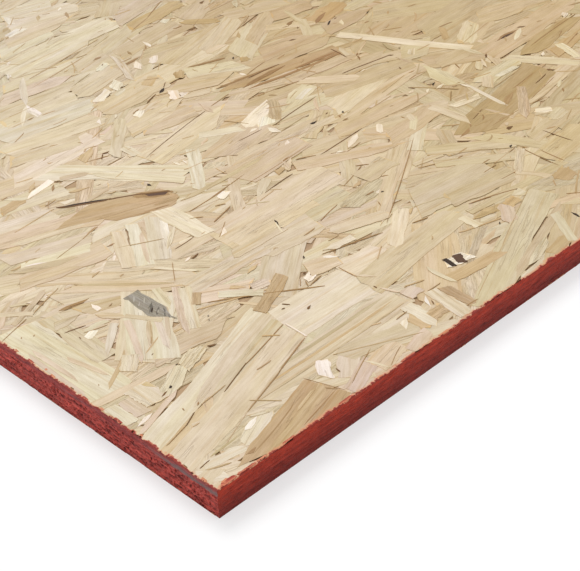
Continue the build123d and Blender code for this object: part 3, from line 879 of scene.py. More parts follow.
def addColour(piece, name, values):
    layer = piece.data.color_attributes.new(name, "FLOAT_COLOR", "POINT")
    solid = np.concatenate([values, np.ones((len(values), 1))], 1)
    layer.data.foreach_set("color", solid.astype(np.float32).ravel())


# Packs the flat strands of one piece into the unit square, in rows, the widest first
def packStrands(longs, wides, weights):
    pad = 1.2
    long = (longs * 2 + 2 * pad + 4) * weights
    wide = (wides * 2 + 2 * pad + 5) * weights
    order = np.argsort(-wide)
    side = math.sqrt((long * wide).sum() * 1.06)
    while True:
        spots = np.zeros((len(long), 2))
        cursor, rowTop, rowHeight = 0.0, 0.0, 0.0
        for each in order:
            if cursor + long[each] > side:
                rowTop += rowHeight
                cursor, rowHeight = 0.0, 0.0
            spots[each] = (cursor + long[each] / 2, rowTop + wide[each] / 2)
            cursor += long[each]
            rowHeight = max(rowHeight, wide[each])
        if rowTop + rowHeight <= side:
            return spots / side, weights / side
        side *= 1.02


faceDetail = {
    "broad": (14, 4),       # faces along and across: strands from the given list
    "small": (6, 2),        # chips and cracks from the given list
    "near": (10, 3),        # the rest of what is seen close up
    "far": (3, 1),
    "smallWide": 5.0,
    "closer": 2.6,          # how much larger what is seen close up is packed
    "lanes": 5,             # pieces across the sheet
    "underLanes": 3,
    "bare": 0.004,          # the share of a face that may stay bare
    "underBare": 0.01,
    "seed": 7,
    "underSeed": 8,
}


def buildFace(name, byHand, sizes, bareShare, lanes, seed, flipped, material):
    laid = layFace(byHand, sizes, bareShare, seed)
    table = {key: np.array([strand[key] for strand in laid], float) for key in columnNames}
    colours = np.array([strand["colour"] for strand in laid])
    looks = np.stack([table["figure"], table["coarse"]], 1)
    near = inView(table["x"], table["y"]) & (not flipped)
    broad = table["halfWide"] * 2 > faceDetail["smallWide"]
    kind = np.where(table["hand"] > 0, np.where(broad, 3, 2), np.where(near, 1, 0))
    lane = np.clip(((table["y"] + halfWidth) / (2 * halfWidth) * lanes).astype(int), 0, lanes - 1)
    pieces = []
    for number in range(lanes):
        rng = np.random.default_rng(seed * 100 + number)
        mine = np.flatnonzero(lane == number)
        weights = np.where(kind[mine] == 0, 1.0, faceDetail["closer"])
        spots, scales = packStrands(table["halfLong"][mine], table["halfWide"][mine], weights)
        groups = []
        for level, label in enumerate(("far", "near", "small", "broad")):
            chosen = kind[mine] == level
            if not chosen.any():
                continue
            part = {key: values[mine][chosen] for key, values in table.items()}
            points, gaps, flat = strandShapes(part, *faceDetail[label], rng)
            shift = rng.uniform(0, 4000, (chosen.sum(), 2))
            painted = (colours[mine][chosen], looks[mine][chosen])
            groups.append((points, gaps, flat, *painted, shift, spots[chosen], scales[chosen]))
        data = strandMesh(groups, flipped)
        piece = meshObject(name + "_" + str(number + 1), data)
        addValue(piece, "sideGap", data["gaps"][:, 0])
        addValue(piece, "endGap", data["gaps"][:, 1])
        addValue(piece, "figure", data["looks"][:, 0])
        addValue(piece, "coarse", data["looks"][:, 1])
        addColour(piece, "tone", data["tones"])
        piece.data.materials.append(material)
        pieces.append(piece)
    return pieces


# Short ways to add and join nodes
def addNode(tree, kind, **settings):
    made = tree.nodes.new(kind)
    for name, value in settings.items():
        setattr(made, name, value)
    return made


def give(tree, target, value):
    if isinstance(value, bpy.types.NodeSocket):
        tree.links.new(value, target)
    else:
        target.default_value = value


def calc(tree, operation, first, second=None, third=None):
    made = addNode(tree, "ShaderNodeMath", operation=operation)
    for number, value in enumerate((first, second, third)):
        if value is not None:
            give(tree, made.inputs[number], value)
    return made.outputs[0]


def mixColour(tree, factor, first, second, blend="MIX"):
    made = addNode(tree, "ShaderNodeMix", data_type="RGBA", blend_type=blend)
    give(tree, made.inputs["Factor"], factor)
    give(tree, made.inputs[6], first)
    give(tree, made.inputs[7], second)
    return made.outputs[2]


def spread(tree, value, low, high, outLow=0.0, outHigh=1.0):
    made = addNode(tree, "ShaderNodeMapRange", interpolation_type="SMOOTHSTEP")
    give(tree, made.inputs["Value"], value)
    for socket, number in (("From Min", low), ("From Max", high), ("To Min", outLow), ("To Max", outHigh)):
        made.inputs[socket].default_value = number
    return made.outputs[0]


def noiseAt(tree, vector, scale, detail=2.0, rough=0.55):
    mapping = addNode(tree, "ShaderNodeMapping")
    give(tree, mapping.inputs["Vector"], vector)
    mapping.inputs["Scale"].default_value = scale
    made = addNode(tree, "ShaderNodeTexNoise")
    give(tree, made.inputs["Vector"], mapping.outputs[0])
    made.inputs["Scale"].default_value = 1.0
    made.inputs["Detail"].default_value = detail
    made.inputs["Roughness"].default_value = rough
    return made.outputs["Fac"]


def newGroup(name, inputs, outputs):
    group = bpy.data.node_groups.new(name, "ShaderNodeTree")
    for direction, sockets in (("INPUT", inputs), ("OUTPUT", outputs)):
        for label, kind in sockets:
            group.interface.new_socket(name=label, in_out=direction, socket_type="NodeSocket" + kind)
    return group, addNode(group, "NodeGroupInput"), addNode(group, "NodeGroupOutput")


# Grain of one strand. Its map is in millimetres, along and across the strand. Fibres and a slow mottle
# lighten and darken the tone a little, growth lines show on some strands, fine cracks run along it with
# painted shade in them, coarse strands are crinkled with painted shade in the creases, and its rim is
# darker, partly resin and partly painted shade for the shadow line along its border. Its side walls are
# tinted warmer as painted light.
grainLook = {
    "fibre": 0.90,          # how much each noise lightens and darkens the wood
    "fine": 0.70,
    "mottle": 1.00,
    "speck": 0.45,
    "growthLine": -0.30,
    "creaseShade": -0.26,
    "darker": (0.76, 0.69, 0.58, 1),
    "paler": (1.13, 1.15, 1.20, 1),
    "yellower": (0.985, 0.97, 0.90, 1),
    "pinker": (1.0, 0.985, 1.0, 1),
    "streak": 0.70,
    "streakTone": (0.88, 0.77, 0.59, 1),
    "fleck": 0.30,
    "fleckTone": (0.36, 0.21, 0.09, 1),
    "crack": 0.30,
    "crackShade": (0.30, 0.18, 0.09, 1),
    "rimResinShade": (0.66, 0.50, 0.30, 1),
    "litWallTone": (1.06, 0.94, 0.74, 1),
}


def makeGrainGroup():
    tree, given, result = newGroup(
        "strandGrain",
        [("Place", "Vector"), ("Tone", "Color"), ("Side Gap", "Float"), ("End Gap", "Float"),
         ("Figure", "Float"), ("Coarse", "Float")],
        [("Color", "Color"), ("Height", "Float"), ("Roughness", "Float")])
    place = given.outputs["Place"]
    coarse = given.outputs["Coarse"]

    def sway(value, amount, base):
        return calc(tree, "MULTIPLY_ADD", calc(tree, "SUBTRACT", value, 0.5), amount, base)

    def tinted(colour, name):
        return mixColour(tree, 1.0, colour, grainLook[name], "MULTIPLY")

    fibre = noiseAt(tree, place, (0.035, 0.75, 1), 3, 0.6)
    fine = noiseAt(tree, place, (0.16, 2.6, 1), 3, 0.65)
    mottle = noiseAt(tree, place, (0.05, 0.13, 1), 3, 0.55)
    speck = noiseAt(tree, place, (1.1, 1.7, 1), 2, 0.6)
    bend = noiseAt(tree, place, (0.012, 0.05, 1), 2, 0.5)
    split = addNode(tree, "ShaderNodeSeparateXYZ")
    give(tree, split.inputs[0], place)
    phase = calc(tree, "MULTIPLY_ADD", bend, 26.0, split.outputs["Y"])
    ring = calc(tree, "SINE", calc(tree, "MULTIPLY", phase, 1.35))
    ring = calc(tree, "MULTIPLY", spread(tree, ring, 0.1, 1.0), given.outputs["Figure"])
    fleck = spread(tree, noiseAt(tree, place, (0.35, 2.2, 1), 2, 0.5), 0.68, 0.75)

    # a crack shows where a slow noise, drawn out along the strand, passes its middle value; it is darkened
    # as painted shade in the crack, and the bump sinks it
    wander = noiseAt(tree, place, (0.010, 0.17, 1), 3, 0.55)
    crack = calc(tree, "ABSOLUTE", calc(tree, "SUBTRACT", wander, 0.5))
    crack = spread(tree, crack, 0.003, 0.009, 1.0, 0.0)
    cracked = spread(tree, noiseAt(tree, place, (0.022, 0.04, 1), 1, 0.5), 0.50, 0.58)
    crack = calc(tree, "MULTIPLY", crack, cracked)

    # crinkles: creases where a quicker noise passes its middle value, darkened as painted shade in them and
    # sunk by the bump
    crease = noiseAt(tree, place, (0.05, 0.50, 1), 3, 0.6)
    crease = calc(tree, "ABSOLUTE", calc(tree, "SUBTRACT", crease, 0.5))
    crease = spread(tree, crease, 0.0, 0.05, 1.0, 0.0)
    crease = calc(tree, "MULTIPLY", crease, spread(tree, coarse, 0.25, 0.9))

    light = sway(fibre, grainLook["fibre"], 0.60)
    light = sway(fine, grainLook["fine"], light)
    light = sway(mottle, grainLook["mottle"], light)
    light = sway(speck, grainLook["speck"], light)
    light = calc(tree, "MULTIPLY_ADD", ring, grainLook["growthLine"], light)
    light = calc(tree, "MULTIPLY_ADD", crease, grainLook["creaseShade"], light)
    light = calc(tree, "MINIMUM", calc(tree, "MAXIMUM", light, 0.0), 1.0)
    dark = tinted(given.outputs["Tone"], "darker")
    pale = tinted(given.outputs["Tone"], "paler")
    wood = mixColour(tree, light, dark, pale)
    hue = spread(tree, noiseAt(tree, place, (0.011, 0.11, 1), 2, 0.5), 0.36, 0.64)
    hue = mixColour(tree, hue, grainLook["yellower"], grainLook["pinker"])
    wood = mixColour(tree, 1.0, wood, hue, "MULTIPLY")
    streak = spread(tree, noiseAt(tree, place, (0.014, 0.30, 1), 3, 0.55), 0.52, 0.74)
    streak = calc(tree, "MULTIPLY", streak, grainLook["streak"])
    wood = mixColour(tree, streak, wood, tinted(wood, "streakTone"))
    wood = mixColour(tree, calc(tree, "MULTIPLY", fleck, grainLook["fleck"]), wood, grainLook["fleckTone"])
    wood = mixColour(tree, calc(tree, "MULTIPLY", crack, grainLook["crack"]), wood, grainLook["crackShade"])

    # the rim: darker, partly resin at the strand's edge and partly painted shade for the shadow line along
    # its border, broken up by noise
    waver = noiseAt(tree, place, (0.22, 0.22, 1), 2, 0.5)
    gap = calc(tree, "MINIMUM", given.outputs["Side Gap"], given.outputs["End Gap"])
    gap = calc(tree, "ADD", gap, calc(tree, "MULTIPLY", calc(tree, "SUBTRACT", waver, 0.5), 1.2))
    rim = spread(tree, gap, 0.0, 0.30, 1.0, 0.0)
    broken = spread(tree, noiseAt(tree, place, (0.06, 0.06, 1), 1, 0.5), 0.44, 0.64, 0.0, 0.24)
    wood = mixColour(tree, calc(tree, "MULTIPLY", rim, broken), wood, tinted(wood, "rimResinShade"))
    # painted light: the side walls, where a gap is nought, are tinted warmer so that they look golden-lit
    # rather than shaded
    wall = calc(tree, "MINIMUM", given.outputs["Side Gap"], given.outputs["End Gap"])
    wall = spread(tree, wall, 0.0, 0.04, 1.0, 0.0)
    wood = mixColour(tree, wall, wood, tinted(given.outputs["Tone"], "litWallTone"))
    height = calc(tree, "MULTIPLY_ADD", crack, -0.8, light)
    height = calc(tree, "MULTIPLY_ADD", crease, -0.8, height)
    give(tree, result.inputs["Color"], wood)
    give(tree, result.inputs["Height"], height)
    give(tree, result.inputs["Roughness"], calc(tree, "MULTIPLY_ADD", fibre, 0.2, 0.50))
    return tree


# Where the sealing coat lies on the strands: in a ragged line a little way over the arris, with
# a thinner stain beyond it. Lengths are in millimetres.
coatEdge = {
    "reach": 0.60,
    "broadRag": 5.0,
    "smallRag": 5.2,
    "leastReach": 0.12,
    "fringe": 0.75,         # how far the stain goes beyond the coat
    "longFringe": 0.9,      # added to it along the long sides
    "stainTone": (0.68, 0.26, 0.14, 1),
    "darker": (0.19, 0.022, 0.015, 1),
    "paler": (0.36, 0.050, 0.034, 1),
}


def makeSealerGroup():
    tree, given, result = newGroup(
        "edgeSealer",
        [("Place", "Vector"), ("Color", "Color"), ("Roughness", "Float")],
        [("Color", "Color"), ("Roughness", "Float"), ("Mask", "Float")])
    split = addNode(tree, "ShaderNodeSeparateXYZ")
    give(tree, split.inputs[0], given.outputs["Place"])
    gapX = calc(tree, "SUBTRACT", halfLength * metre, calc(tree, "ABSOLUTE", split.outputs["X"]))
    gapY = calc(tree, "SUBTRACT", halfWidth * metre, calc(tree, "ABSOLUTE", split.outputs["Y"]))
    gap = calc(tree, "MULTIPLY", calc(tree, "MINIMUM", gapX, gapY), 1 / metre)
    broad = noiseAt(tree, given.outputs["Place"], (130, 130, 130), 2, 0.6)
    small = noiseAt(tree, given.outputs["Place"], (420, 420, 420), 3, 0.65)
    broad = calc(tree, "SUBTRACT", broad, 0.5)
    small = calc(tree, "SUBTRACT", small, 0.5)
    reach = calc(tree, "MULTIPLY_ADD", broad, coatEdge["broadRag"], coatEdge["reach"])
    reach = calc(tree, "MULTIPLY_ADD", small, coatEdge["smallRag"], reach)
    reach = calc(tree, "MAXIMUM", reach, coatEdge["leastReach"])
    inside = calc(tree, "SUBTRACT", reach, gap)
    nearLong = calc(tree, "LESS_THAN", gapY, gapX)
    fringe = calc(tree, "MULTIPLY_ADD", nearLong, coatEdge["longFringe"], coatEdge["fringe"])
    thin = spread(tree, calc(tree, "DIVIDE", inside, fringe), -1.0, 0.1)
    full = spread(tree, inside, -0.05, 0.35)
    thin = calc(tree, "MULTIPLY", thin, 0.75)
    stain = mixColour(tree, thin, given.outputs["Color"], coatEdge["stainTone"])
    shade = noiseAt(tree, given.outputs["Place"], (260, 260, 900), 3, 0.6)
    paint = mixColour(tree, shade, coatEdge["darker"], coatEdge["paler"])
    give(tree, result.inputs["Color"], mixColour(tree, full, stain, paint))
    rough = calc(tree, "SUBTRACT", 0.5, given.outputs["Roughness"])
    rough = calc(tree, "MULTIPLY_ADD", full, rough, given.outputs["Roughness"])
    give(tree, result.inputs["Roughness"], rough)
    give(tree, result.inputs["Mask"], full)
    return tree


def newMaterial(name):
    material = bpy.data.materials.new(name)
    material.use_nodes = True
    tree = material.node_tree
    shader = tree.nodes["Principled BSDF"]
    return material, tree, shader


def bumpOn(tree, shader, height, distance, strength):
    bump = addNode(tree, "ShaderNodeBump")
    bump.inputs["Distance"].default_value = distance
    bump.inputs["Strength"].default_value = strength
    give(tree, bump.inputs["Height"], height)
    give(tree, shader.inputs["Normal"], bump.outputs[0])


def makeStrandMaterial(grainGroup, sealerGroup):
    material, tree, shader = newMaterial("strandFace")
    place = addNode(tree, "ShaderNodeUVMap", uv_map="grain")
    tone = addNode(tree, "ShaderNodeAttribute", attribute_name="tone")
    sideGap = addNode(tree, "ShaderNodeAttribute", attribute_name="sideGap")
    endGap = addNode(tree, "ShaderNodeAttribute", attribute_name="endGap")
    figure = addNode(tree, "ShaderNodeAttribute", attribute_name="figure")
    coarse = addNode(tree, "ShaderNodeAttribute", attribute_name="coarse")
    grain = addNode(tree, "ShaderNodeGroup", node_tree=grainGroup)
    give(tree, grain.inputs["Place"], place.outputs[0])
    give(tree, grain.inputs["Tone"], tone.outputs["Color"])
    give(tree, grain.inputs["Side Gap"], sideGap.outputs["Fac"])
    give(tree, grain.inputs["End Gap"], endGap.outputs["Fac"])
    give(tree, grain.inputs["Figure"], figure.outputs["Fac"])
    give(tree, grain.inputs["Coarse"], coarse.outputs["Fac"])
    spot = addNode(tree, "ShaderNodeTexCoord")
    sealer = addNode(tree, "ShaderNodeGroup", node_tree=sealerGroup)
    give(tree, sealer.inputs["Place"], spot.outputs["Object"])
    give(tree, sealer.inputs["Color"], grain.outputs["Color"])
    give(tree, sealer.inputs["Roughness"], grain.outputs["Roughness"])
    give(tree, shader.inputs["Base Color"], sealer.outputs["Color"])
    give(tree, shader.inputs["Roughness"], sealer.outputs["Roughness"])
    shader.inputs["Specular IOR Level"].default_value = 0.12
    bumpOn(tree, shader, grain.outputs["Height"], 0.0002, 0.8)
    return material


# The sawn sides all round, as one closed band. Going round the sheet by distance and up its
# side by height, the wall stands back from the cut by: a share for each cut strand end, which
# are lens-shaped cells in wavy layers, plus fine roughness, plus small deep pits.
sawnSide = {
    "fineStep": 0.5,        # along the part seen close up
    "coarseStep": 6.0,
    "fineLong": 300.0,
    "fineShort": 185.0,
    "rows": 34,
    "foot": 0.03,           # the band's lower and upper rim, from the faces
    "head": 0.22,
    "wall": 1.6,
    "layer": 0.95,
    "bakeRows": 24,
}


# The way round: every station's place, whether it is on a long side and how far round it is
def sidePath():
    # where each side starts, which way it goes, its length, if it is long, if it ends at the corner
    # that is seen close up
    steps = [
        (-halfLength, -halfWidth, 1, 0, 2 * halfLength, 1.0, 0.0),
        (halfLength, -halfWidth, 0, 1, 2 * halfWidth, 0.0, 0.0),
        (halfLength, halfWidth, -1, 0, 2 * halfLength, 1.0, 0.0),
        (-halfLength, halfWidth, 0, -1, 2 * halfWidth, 0.0, 1.0),
    ]
    xs, ys, longSide, distance = [], [], [], []
    total = 0.0
    for x, y, dx, dy, length, isLong, nearEnd in steps:
        if y == -halfWidth and dx == 1:
            fine = sawnSide["fineLong"]
            marks = np.concatenate([np.arange(0, fine, sawnSide["fineStep"]),
                                    np.arange(fine, length, sawnSide["coarseStep"])])
        elif nearEnd:
            fine = length - sawnSide["fineShort"]
            marks = np.concatenate([np.arange(0, fine, sawnSide["coarseStep"]),
                                    np.arange(fine, length, sawnSide["fineStep"])])
        else:
            marks = np.arange(0, length, sawnSide["coarseStep"])
        xs.append(x + dx * marks)
        ys.append(y + dy * marks)
        longSide.append(np.full(len(marks), isLong))
        distance.append(total + marks)
        total += length
    return np.concatenate(xs), np.concatenate(ys), np.concatenate(longSide), np.concatenate(distance), total


# How far the wall stands back, and how deep in shadow it is
def sideRelief(distance, height, isLong):
    cellLong = 22.0 + 50.0 * isLong
    wavy = height / sawnSide["layer"] + 1.1 * smoothNoise(distance / (14 + 30 * isLong), height / 5, 5)
    layer = np.floor(wavy)
    inLayer = wavy - layer
    cellWide = cellLong * (0.5 + latticeValue(layer, layer * 0, 11))
    alongCell = distance / cellWide + 7 * latticeValue(layer, layer * 0, 12)
    cell = np.floor(alongCell)
    inCell = alongCell - cell
    back = 0.16 * latticeValue(cell, layer, 21)
    groove = 1 - ramp(np.minimum(inLayer, 1 - inLayer), 0.0, 0.22)
    ends = 1 - ramp(np.minimum(inCell, 1 - inCell) * cellWide, 0.0, 0.8)
    seam = np.maximum(groove, ends)
    strength = 0.35 + 0.65 * smoothNoise(distance / 9, height / 1.5, 31)
    rough = smoothNoise(distance / 1.3, height / 0.8, 41) * 0.12
    shallow = smoothNoise(distance / (1.15 + 3.4 * isLong), height / 0.62, 51)
    deep = smoothNoise(distance / (2.6 + 5 * isLong), height / 0.8, 61)
    filled = ramp(height, thickness - 6.5, thickness - 3.5) * (1 - isLong)
    pit = np.maximum(ramp(shallow, 0.62, 0.86) * 0.7, ramp(deep, 0.80, 0.93)) * (1 - 0.75 * filled)
    pit = pit * (1 - 0.6 * isLong)
    back = back + 0.14 * seam * strength + rough + 0.6 * pit
    return back, np.clip(0.2 * seam * strength + pit, 0, 1)


# The places of each quad's four corners in a map
def quadCorners(left, right, low, high):
    return np.stack([np.stack([left, low], -1), np.stack([right, low], -1), np.stack([right, high], -1),
                     np.stack([left, high], -1)], 2)


def buildSides(material):
    xs, ys, isLong, distance, total = sidePath()
    low = sawnSide["foot"]
    high = thickness - sawnSide["head"]
    heights = np.linspace(low, high, sawnSide["rows"] + 1)
    far, up = np.meshgrid(distance, heights, indexing="ij")
    longGrid = np.broadcast_to(isLong[:, None], far.shape)
    back, pit = sideRelief(far, up, longGrid)
    rim = np.minimum(up - low, high - up)
    back = back + 0.12 * (1 - ramp(rim, 0.0, 0.6)) + 0.01
    back = np.minimum(back, 0.25 + 0.45 * rim)
    rise = (smoothNoise(far / 2.2, far * 0, 71) - 0.5) * 0.5
    up = np.minimum(up + rise * ramp(up, high - 3, high), thickness - 0.02)
    # two more points behind close the band's section
    inner = np.full((len(distance), 1), sawnSide["wall"])
    back = np.concatenate([back, inner, inner], 1)
    up = np.concatenate([up, np.full_like(inner, high - 2.5), np.full_like(inner, low + 2.5)], 1)
    pit = np.concatenate([pit, inner * 0, inner * 0], 1)
    x = xs[:, None] * (halfLength - back) / halfLength
    y = ys[:, None] * (halfWidth - back) / halfWidth
    points = np.stack([np.broadcast_to(x, back.shape), np.broadcast_to(y, back.shape), up], -1)
    stations, ring = back.shape
    index = np.arange(stations * ring).reshape(stations, ring)
    after = np.roll(index, -1, 0)
    quads = np.stack([index, after, np.roll(after, -1, 1), np.roll(index, -1, 1)], -1)
    # the long band is cut into rows, one above the other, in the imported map
    ends = np.append(distance[1:], total)
    bakeRows = sawnSide["bakeRows"]
    rowOf = np.minimum((distance / total * bakeRows).astype(int), bakeRows - 1)
    rowLength = total / bakeRows * 1.02
    bandTall = high + 5.5
    across = np.concatenate([heights, [high + 1.5, high + 3.0]])
    acrossNext = np.append(across[1:], high + 4.5)
    uA = (distance - rowOf * total / bakeRows) / rowLength
    uB = (ends - rowOf * total / bakeRows) / rowLength
    rowTall = bandTall * bakeRows
    vA = (across[None, :] + (rowOf * bandTall)[:, None]) / rowTall
    vB = (acrossNext[None, :] + (rowOf * bandTall)[:, None]) / rowTall
    uA = np.broadcast_to(uA[:, None], vA.shape)
    uB = np.broadcast_to(uB[:, None], vA.shape)
    packed = quadCorners(uA, uB, vA, vB)
    a = np.broadcast_to(distance[:, None], vA.shape)
    b = np.broadcast_to(ends[:, None], vA.shape)
    h = np.broadcast_to(across[None, :], vA.shape)
    hNext = np.broadcast_to(acrossNext[None, :], vA.shape)
    grain = quadCorners(a, b, h, hNext)
    data = {
        "vertices": points.reshape(-1, 3) * metre,
        "loops": quads.ravel(),
        "starts": np.arange(0, quads.size, 4),
        "packed": packed.reshape(-1, 2),
        "grain": grain.reshape(-1, 2),
    }
    piece = meshObject("sawn_sides", data)
    addValue(piece, "pit", pit.ravel())
    addValue(piece, "longSide", np.broadcast_to(isLong[:, None], back.shape).ravel())
    piece.data.materials.append(material)
    print("sawn sides made with", len(quads) * ring, "faces")
    return piece


# Where the coat has come off the near end of the short side, as a streak just under the arris
bareWood = {
    "from": 4 * halfLength + 4 * halfWidth - 62.0,
    "low": thickness - 2.7,
    "high": thickness - 0.6,
    "darker": (0.14, 0.09, 0.09, 1),
    "paler": (0.27, 0.18, 0.165, 1),
}

# The coat is more uneven on the short sides, and paler there, partly as painted light standing in for more
# light on them. On those it has a darker film toward the top, worn thin in places, and on the long ones it
# is lighter toward the top.
sideCoat = {
    "shortDarker": (0.13, 0.014, 0.012, 1),
    "shortPaler": (0.70, 0.100, 0.074, 1),
    "longDarker": (0.13, 0.012, 0.008, 1),
    "longPaler": (0.46, 0.044, 0.022, 1),
    "longFoot": (0.66, 0.74, 0.95, 1),
    "longHead": (1.30, 1.24, 1.0, 1),
    "film": (0.20, 0.036, 0.040, 1),
    "wornFilm": (0.24, 0.13, 0.14, 1),
    "pit": (0.045, 0.007, 0.006, 1),
    "rim": (0.09, 0.035, 0.028, 1),
}


def makeSideMaterial():
    material, tree, shader = newMaterial("sealedSide")
    place = addNode(tree, "ShaderNodeUVMap", uv_map="grain").outputs[0]
    pit = addNode(tree, "ShaderNodeAttribute", attribute_name="pit").outputs["Fac"]
    longSide = addNode(tree, "ShaderNodeAttribute", attribute_name="longSide").outputs["Fac"]
    patch = noiseAt(tree, place, (0.06, 0.5, 1), 3, 0.6)
    small = noiseAt(tree, place, (1.3, 1.7, 1), 3, 0.7)
    worn = noiseAt(tree, place, (0.02, 0.45, 1), 3, 0.55)
    split = addNode(tree, "ShaderNodeSeparateXYZ")
    give(tree, split.inputs[0], place)
    middle = noiseAt(tree, place, (0.22, 0.55, 1), 3, 0.6)
    shade = calc(tree, "MULTIPLY_ADD", calc(tree, "SUBTRACT", small, 0.5), 1.5, 0.5)
    shade = calc(tree, "MULTIPLY_ADD", calc(tree, "SUBTRACT", patch, 0.5), 1.9, shade)
    shade = calc(tree, "MULTIPLY_ADD", calc(tree, "SUBTRACT", middle, 0.5), 1.7, shade)
    shade = calc(tree, "MINIMUM", calc(tree, "MAXIMUM", shade, 0.0), 1.0)
    # the short sides' paler paint is partly painted light
    shortPaint = mixColour(tree, shade, sideCoat["shortDarker"], sideCoat["shortPaler"])
    evener = calc(tree, "MULTIPLY_ADD", shade, 0.55, 0.23)
    longPaint = mixColour(tree, evener, sideCoat["longDarker"], sideCoat["longPaler"])
    upper = spread(tree, split.outputs["Y"], 0.0, thickness)
    upper = mixColour(tree, upper, sideCoat["longFoot"], sideCoat["longHead"])
    longPaint = mixColour(tree, 1.0, longPaint, upper, "MULTIPLY")
    paint = mixColour(tree, longSide, shortPaint, longPaint)
    film = spread(tree, split.outputs["Y"], thickness - 7.0, thickness - 3.0)
    film = calc(tree, "MULTIPLY", film, calc(tree, "SUBTRACT", 1.0, longSide))
    paint = mixColour(tree, calc(tree, "MULTIPLY", film, 0.45), paint, sideCoat["film"])
    thin = calc(tree, "MULTIPLY", film, spread(tree, worn, 0.54, 0.68))
    paint = mixColour(tree, calc(tree, "MULTIPLY", thin, 0.55), paint, sideCoat["wornFilm"])
    bareAlong = spread(tree, split.outputs["X"], bareWood["from"], bareWood["from"] + 34.0)
    high = calc(tree, "ADD", split.outputs["Y"], calc(tree, "MULTIPLY", middle, 4.0))
    bareFoot = spread(tree, high, bareWood["low"], bareWood["low"] + 0.7)
    bareHead = spread(tree, high, bareWood["high"], bareWood["high"] + 0.8, 1.0, 0.0)
    bare = calc(tree, "MULTIPLY", bareAlong, calc(tree, "MULTIPLY", bareFoot, bareHead))
    bareTone = mixColour(tree, worn, bareWood["darker"], bareWood["paler"])
    paint = mixColour(tree, calc(tree, "MULTIPLY", bare, 0.85), paint, bareTone)
    # painted shade: pits and the seams between cut strand ends are darkened by how deep in shadow they lie
    paint = mixColour(tree, calc(tree, "MULTIPLY", pit, 0.80), paint, sideCoat["pit"])
    rim = calc(tree, "ADD", split.outputs["Y"], calc(tree, "MULTIPLY", middle, 1.6))
    rim = spread(tree, rim, thickness - 0.5, thickness + 0.6)
    rim = calc(tree, "MULTIPLY", rim, calc(tree, "SUBTRACT", 1.0, longSide))
    paint = mixColour(tree, calc(tree, "MULTIPLY", rim, 0.5), paint, sideCoat["rim"])
    give(tree, shader.inputs["Base Color"], paint)
    give(tree, shader.inputs["Roughness"], calc(tree, "MULTIPLY_ADD", small, 0.3, 0.42))
    shader.inputs["Specular IOR Level"].default_value = 0.16
    bumpOn(tree, shader, small, 0.0004, 0.9)
    return material


# What lies under the strands: a closed slab whose two faces wave a little. It shows only through the small
# gaps between strands, and its brown is darker than theirs as painted shade in those gaps.
core = {
    "inset": 1.7,
    "below": 0.85,          # how deep it lies under each face
    "step": 20.0,
    "wave": 0.12,
    "darker": (0.24, 0.14, 0.065, 1),
    "paler": (0.50, 0.34, 0.18, 1),
}


def buildCore(material):
    columns = int(2 * halfLength / core["step"])
    rows = int(2 * halfWidth / core["step"])
    x = np.linspace(-halfLength + core["inset"], halfLength - core["inset"], columns + 1)
    y = np.linspace(-halfWidth + core["inset"], halfWidth - core["inset"], rows + 1)
    gx, gy = np.meshgrid(x, y, indexing="ij")
    top = thickness - core["below"] - core["wave"] * smoothNoise(gx / 35, gy / 35, 81)
    low = core["below"] + core["wave"] * smoothNoise(gx / 35, gy / 35, 82)
    topIndex = np.arange(gx.size).reshape(gx.shape)
    lowIndex = topIndex + gx.size
    topQuads = np.stack([topIndex[:-1, :-1], topIndex[1:, :-1], topIndex[1:, 1:], topIndex[:-1, 1:]], -1)
    lowQuads = np.stack([lowIndex[:-1, :-1], lowIndex[:-1, 1:], lowIndex[1:, 1:], lowIndex[1:, :-1]], -1)
    border = np.concatenate([topIndex[:-1, 0], topIndex[-1, :-1], topIndex[:0:-1, -1], topIndex[0, :0:-1]])
    borderNext = np.roll(border, -1)
    walls = np.stack([border + gx.size, borderNext + gx.size, borderNext, border], -1)
    quads = np.concatenate([topQuads.reshape(-1, 4), lowQuads.reshape(-1, 4), walls])
    topPoints = np.stack([gx, gy, top], -1).reshape(-1, 3)
    lowPoints = np.stack([gx, gy, low], -1).reshape(-1, 3)
    points = np.concatenate([topPoints, lowPoints])
    flat = np.stack([(gx + halfLength) / (2 * halfLength), (gy + halfWidth) / (2 * halfWidth) * 0.48], -1)
    flat = flat.reshape(-1, 2)
    flat = np.concatenate([flat, flat + (0, 0.5)])
    packed = flat[quads]
    wallCount = len(walls)
    packed[-wallCount:, :, 0] = np.linspace(0.0, 0.999, wallCount)[:, None] + [0, 0.0008, 0.0008, 0]
    packed[-wallCount:, :, 1] = [0.985, 0.985, 0.995, 0.995]
    data = {
        "vertices": points * metre,
        "loops": quads.ravel(),
        "starts": np.arange(0, quads.size, 4),
        "packed": packed.reshape(-1, 2),
        "grain": points[:, :2][quads].reshape(-1, 2),
    }
    piece = meshObject("core_layer", data)
    piece.data.materials.append(material)
    return piece


def makeCoreMaterial(grainGroup):
    material, tree, shader = newMaterial("coreLayer")
    place = addNode(tree, "ShaderNodeUVMap", uv_map="grain").outputs[0]
    grain = addNode(tree, "ShaderNodeGroup", node_tree=grainGroup)
    give(tree, grain.inputs["Place"], place)
    patch = noiseAt(tree, place, (0.02, 0.06, 1), 2, 0.5)
    give(tree, grain.inputs["Tone"], mixColour(tree, patch, core["darker"], core["paler"]))
    grain.inputs["Side Gap"].default_value = 9.0
    grain.inputs["End Gap"].default_value = 9.0
    give(tree, shader.inputs["Base Color"], grain.outputs["Color"])
    give(tree, shader.inputs["Roughness"], grain.outputs["Roughness"])
    bumpOn(tree, shader, grain.outputs["Height"], 0.0002, 0.6)
    return material


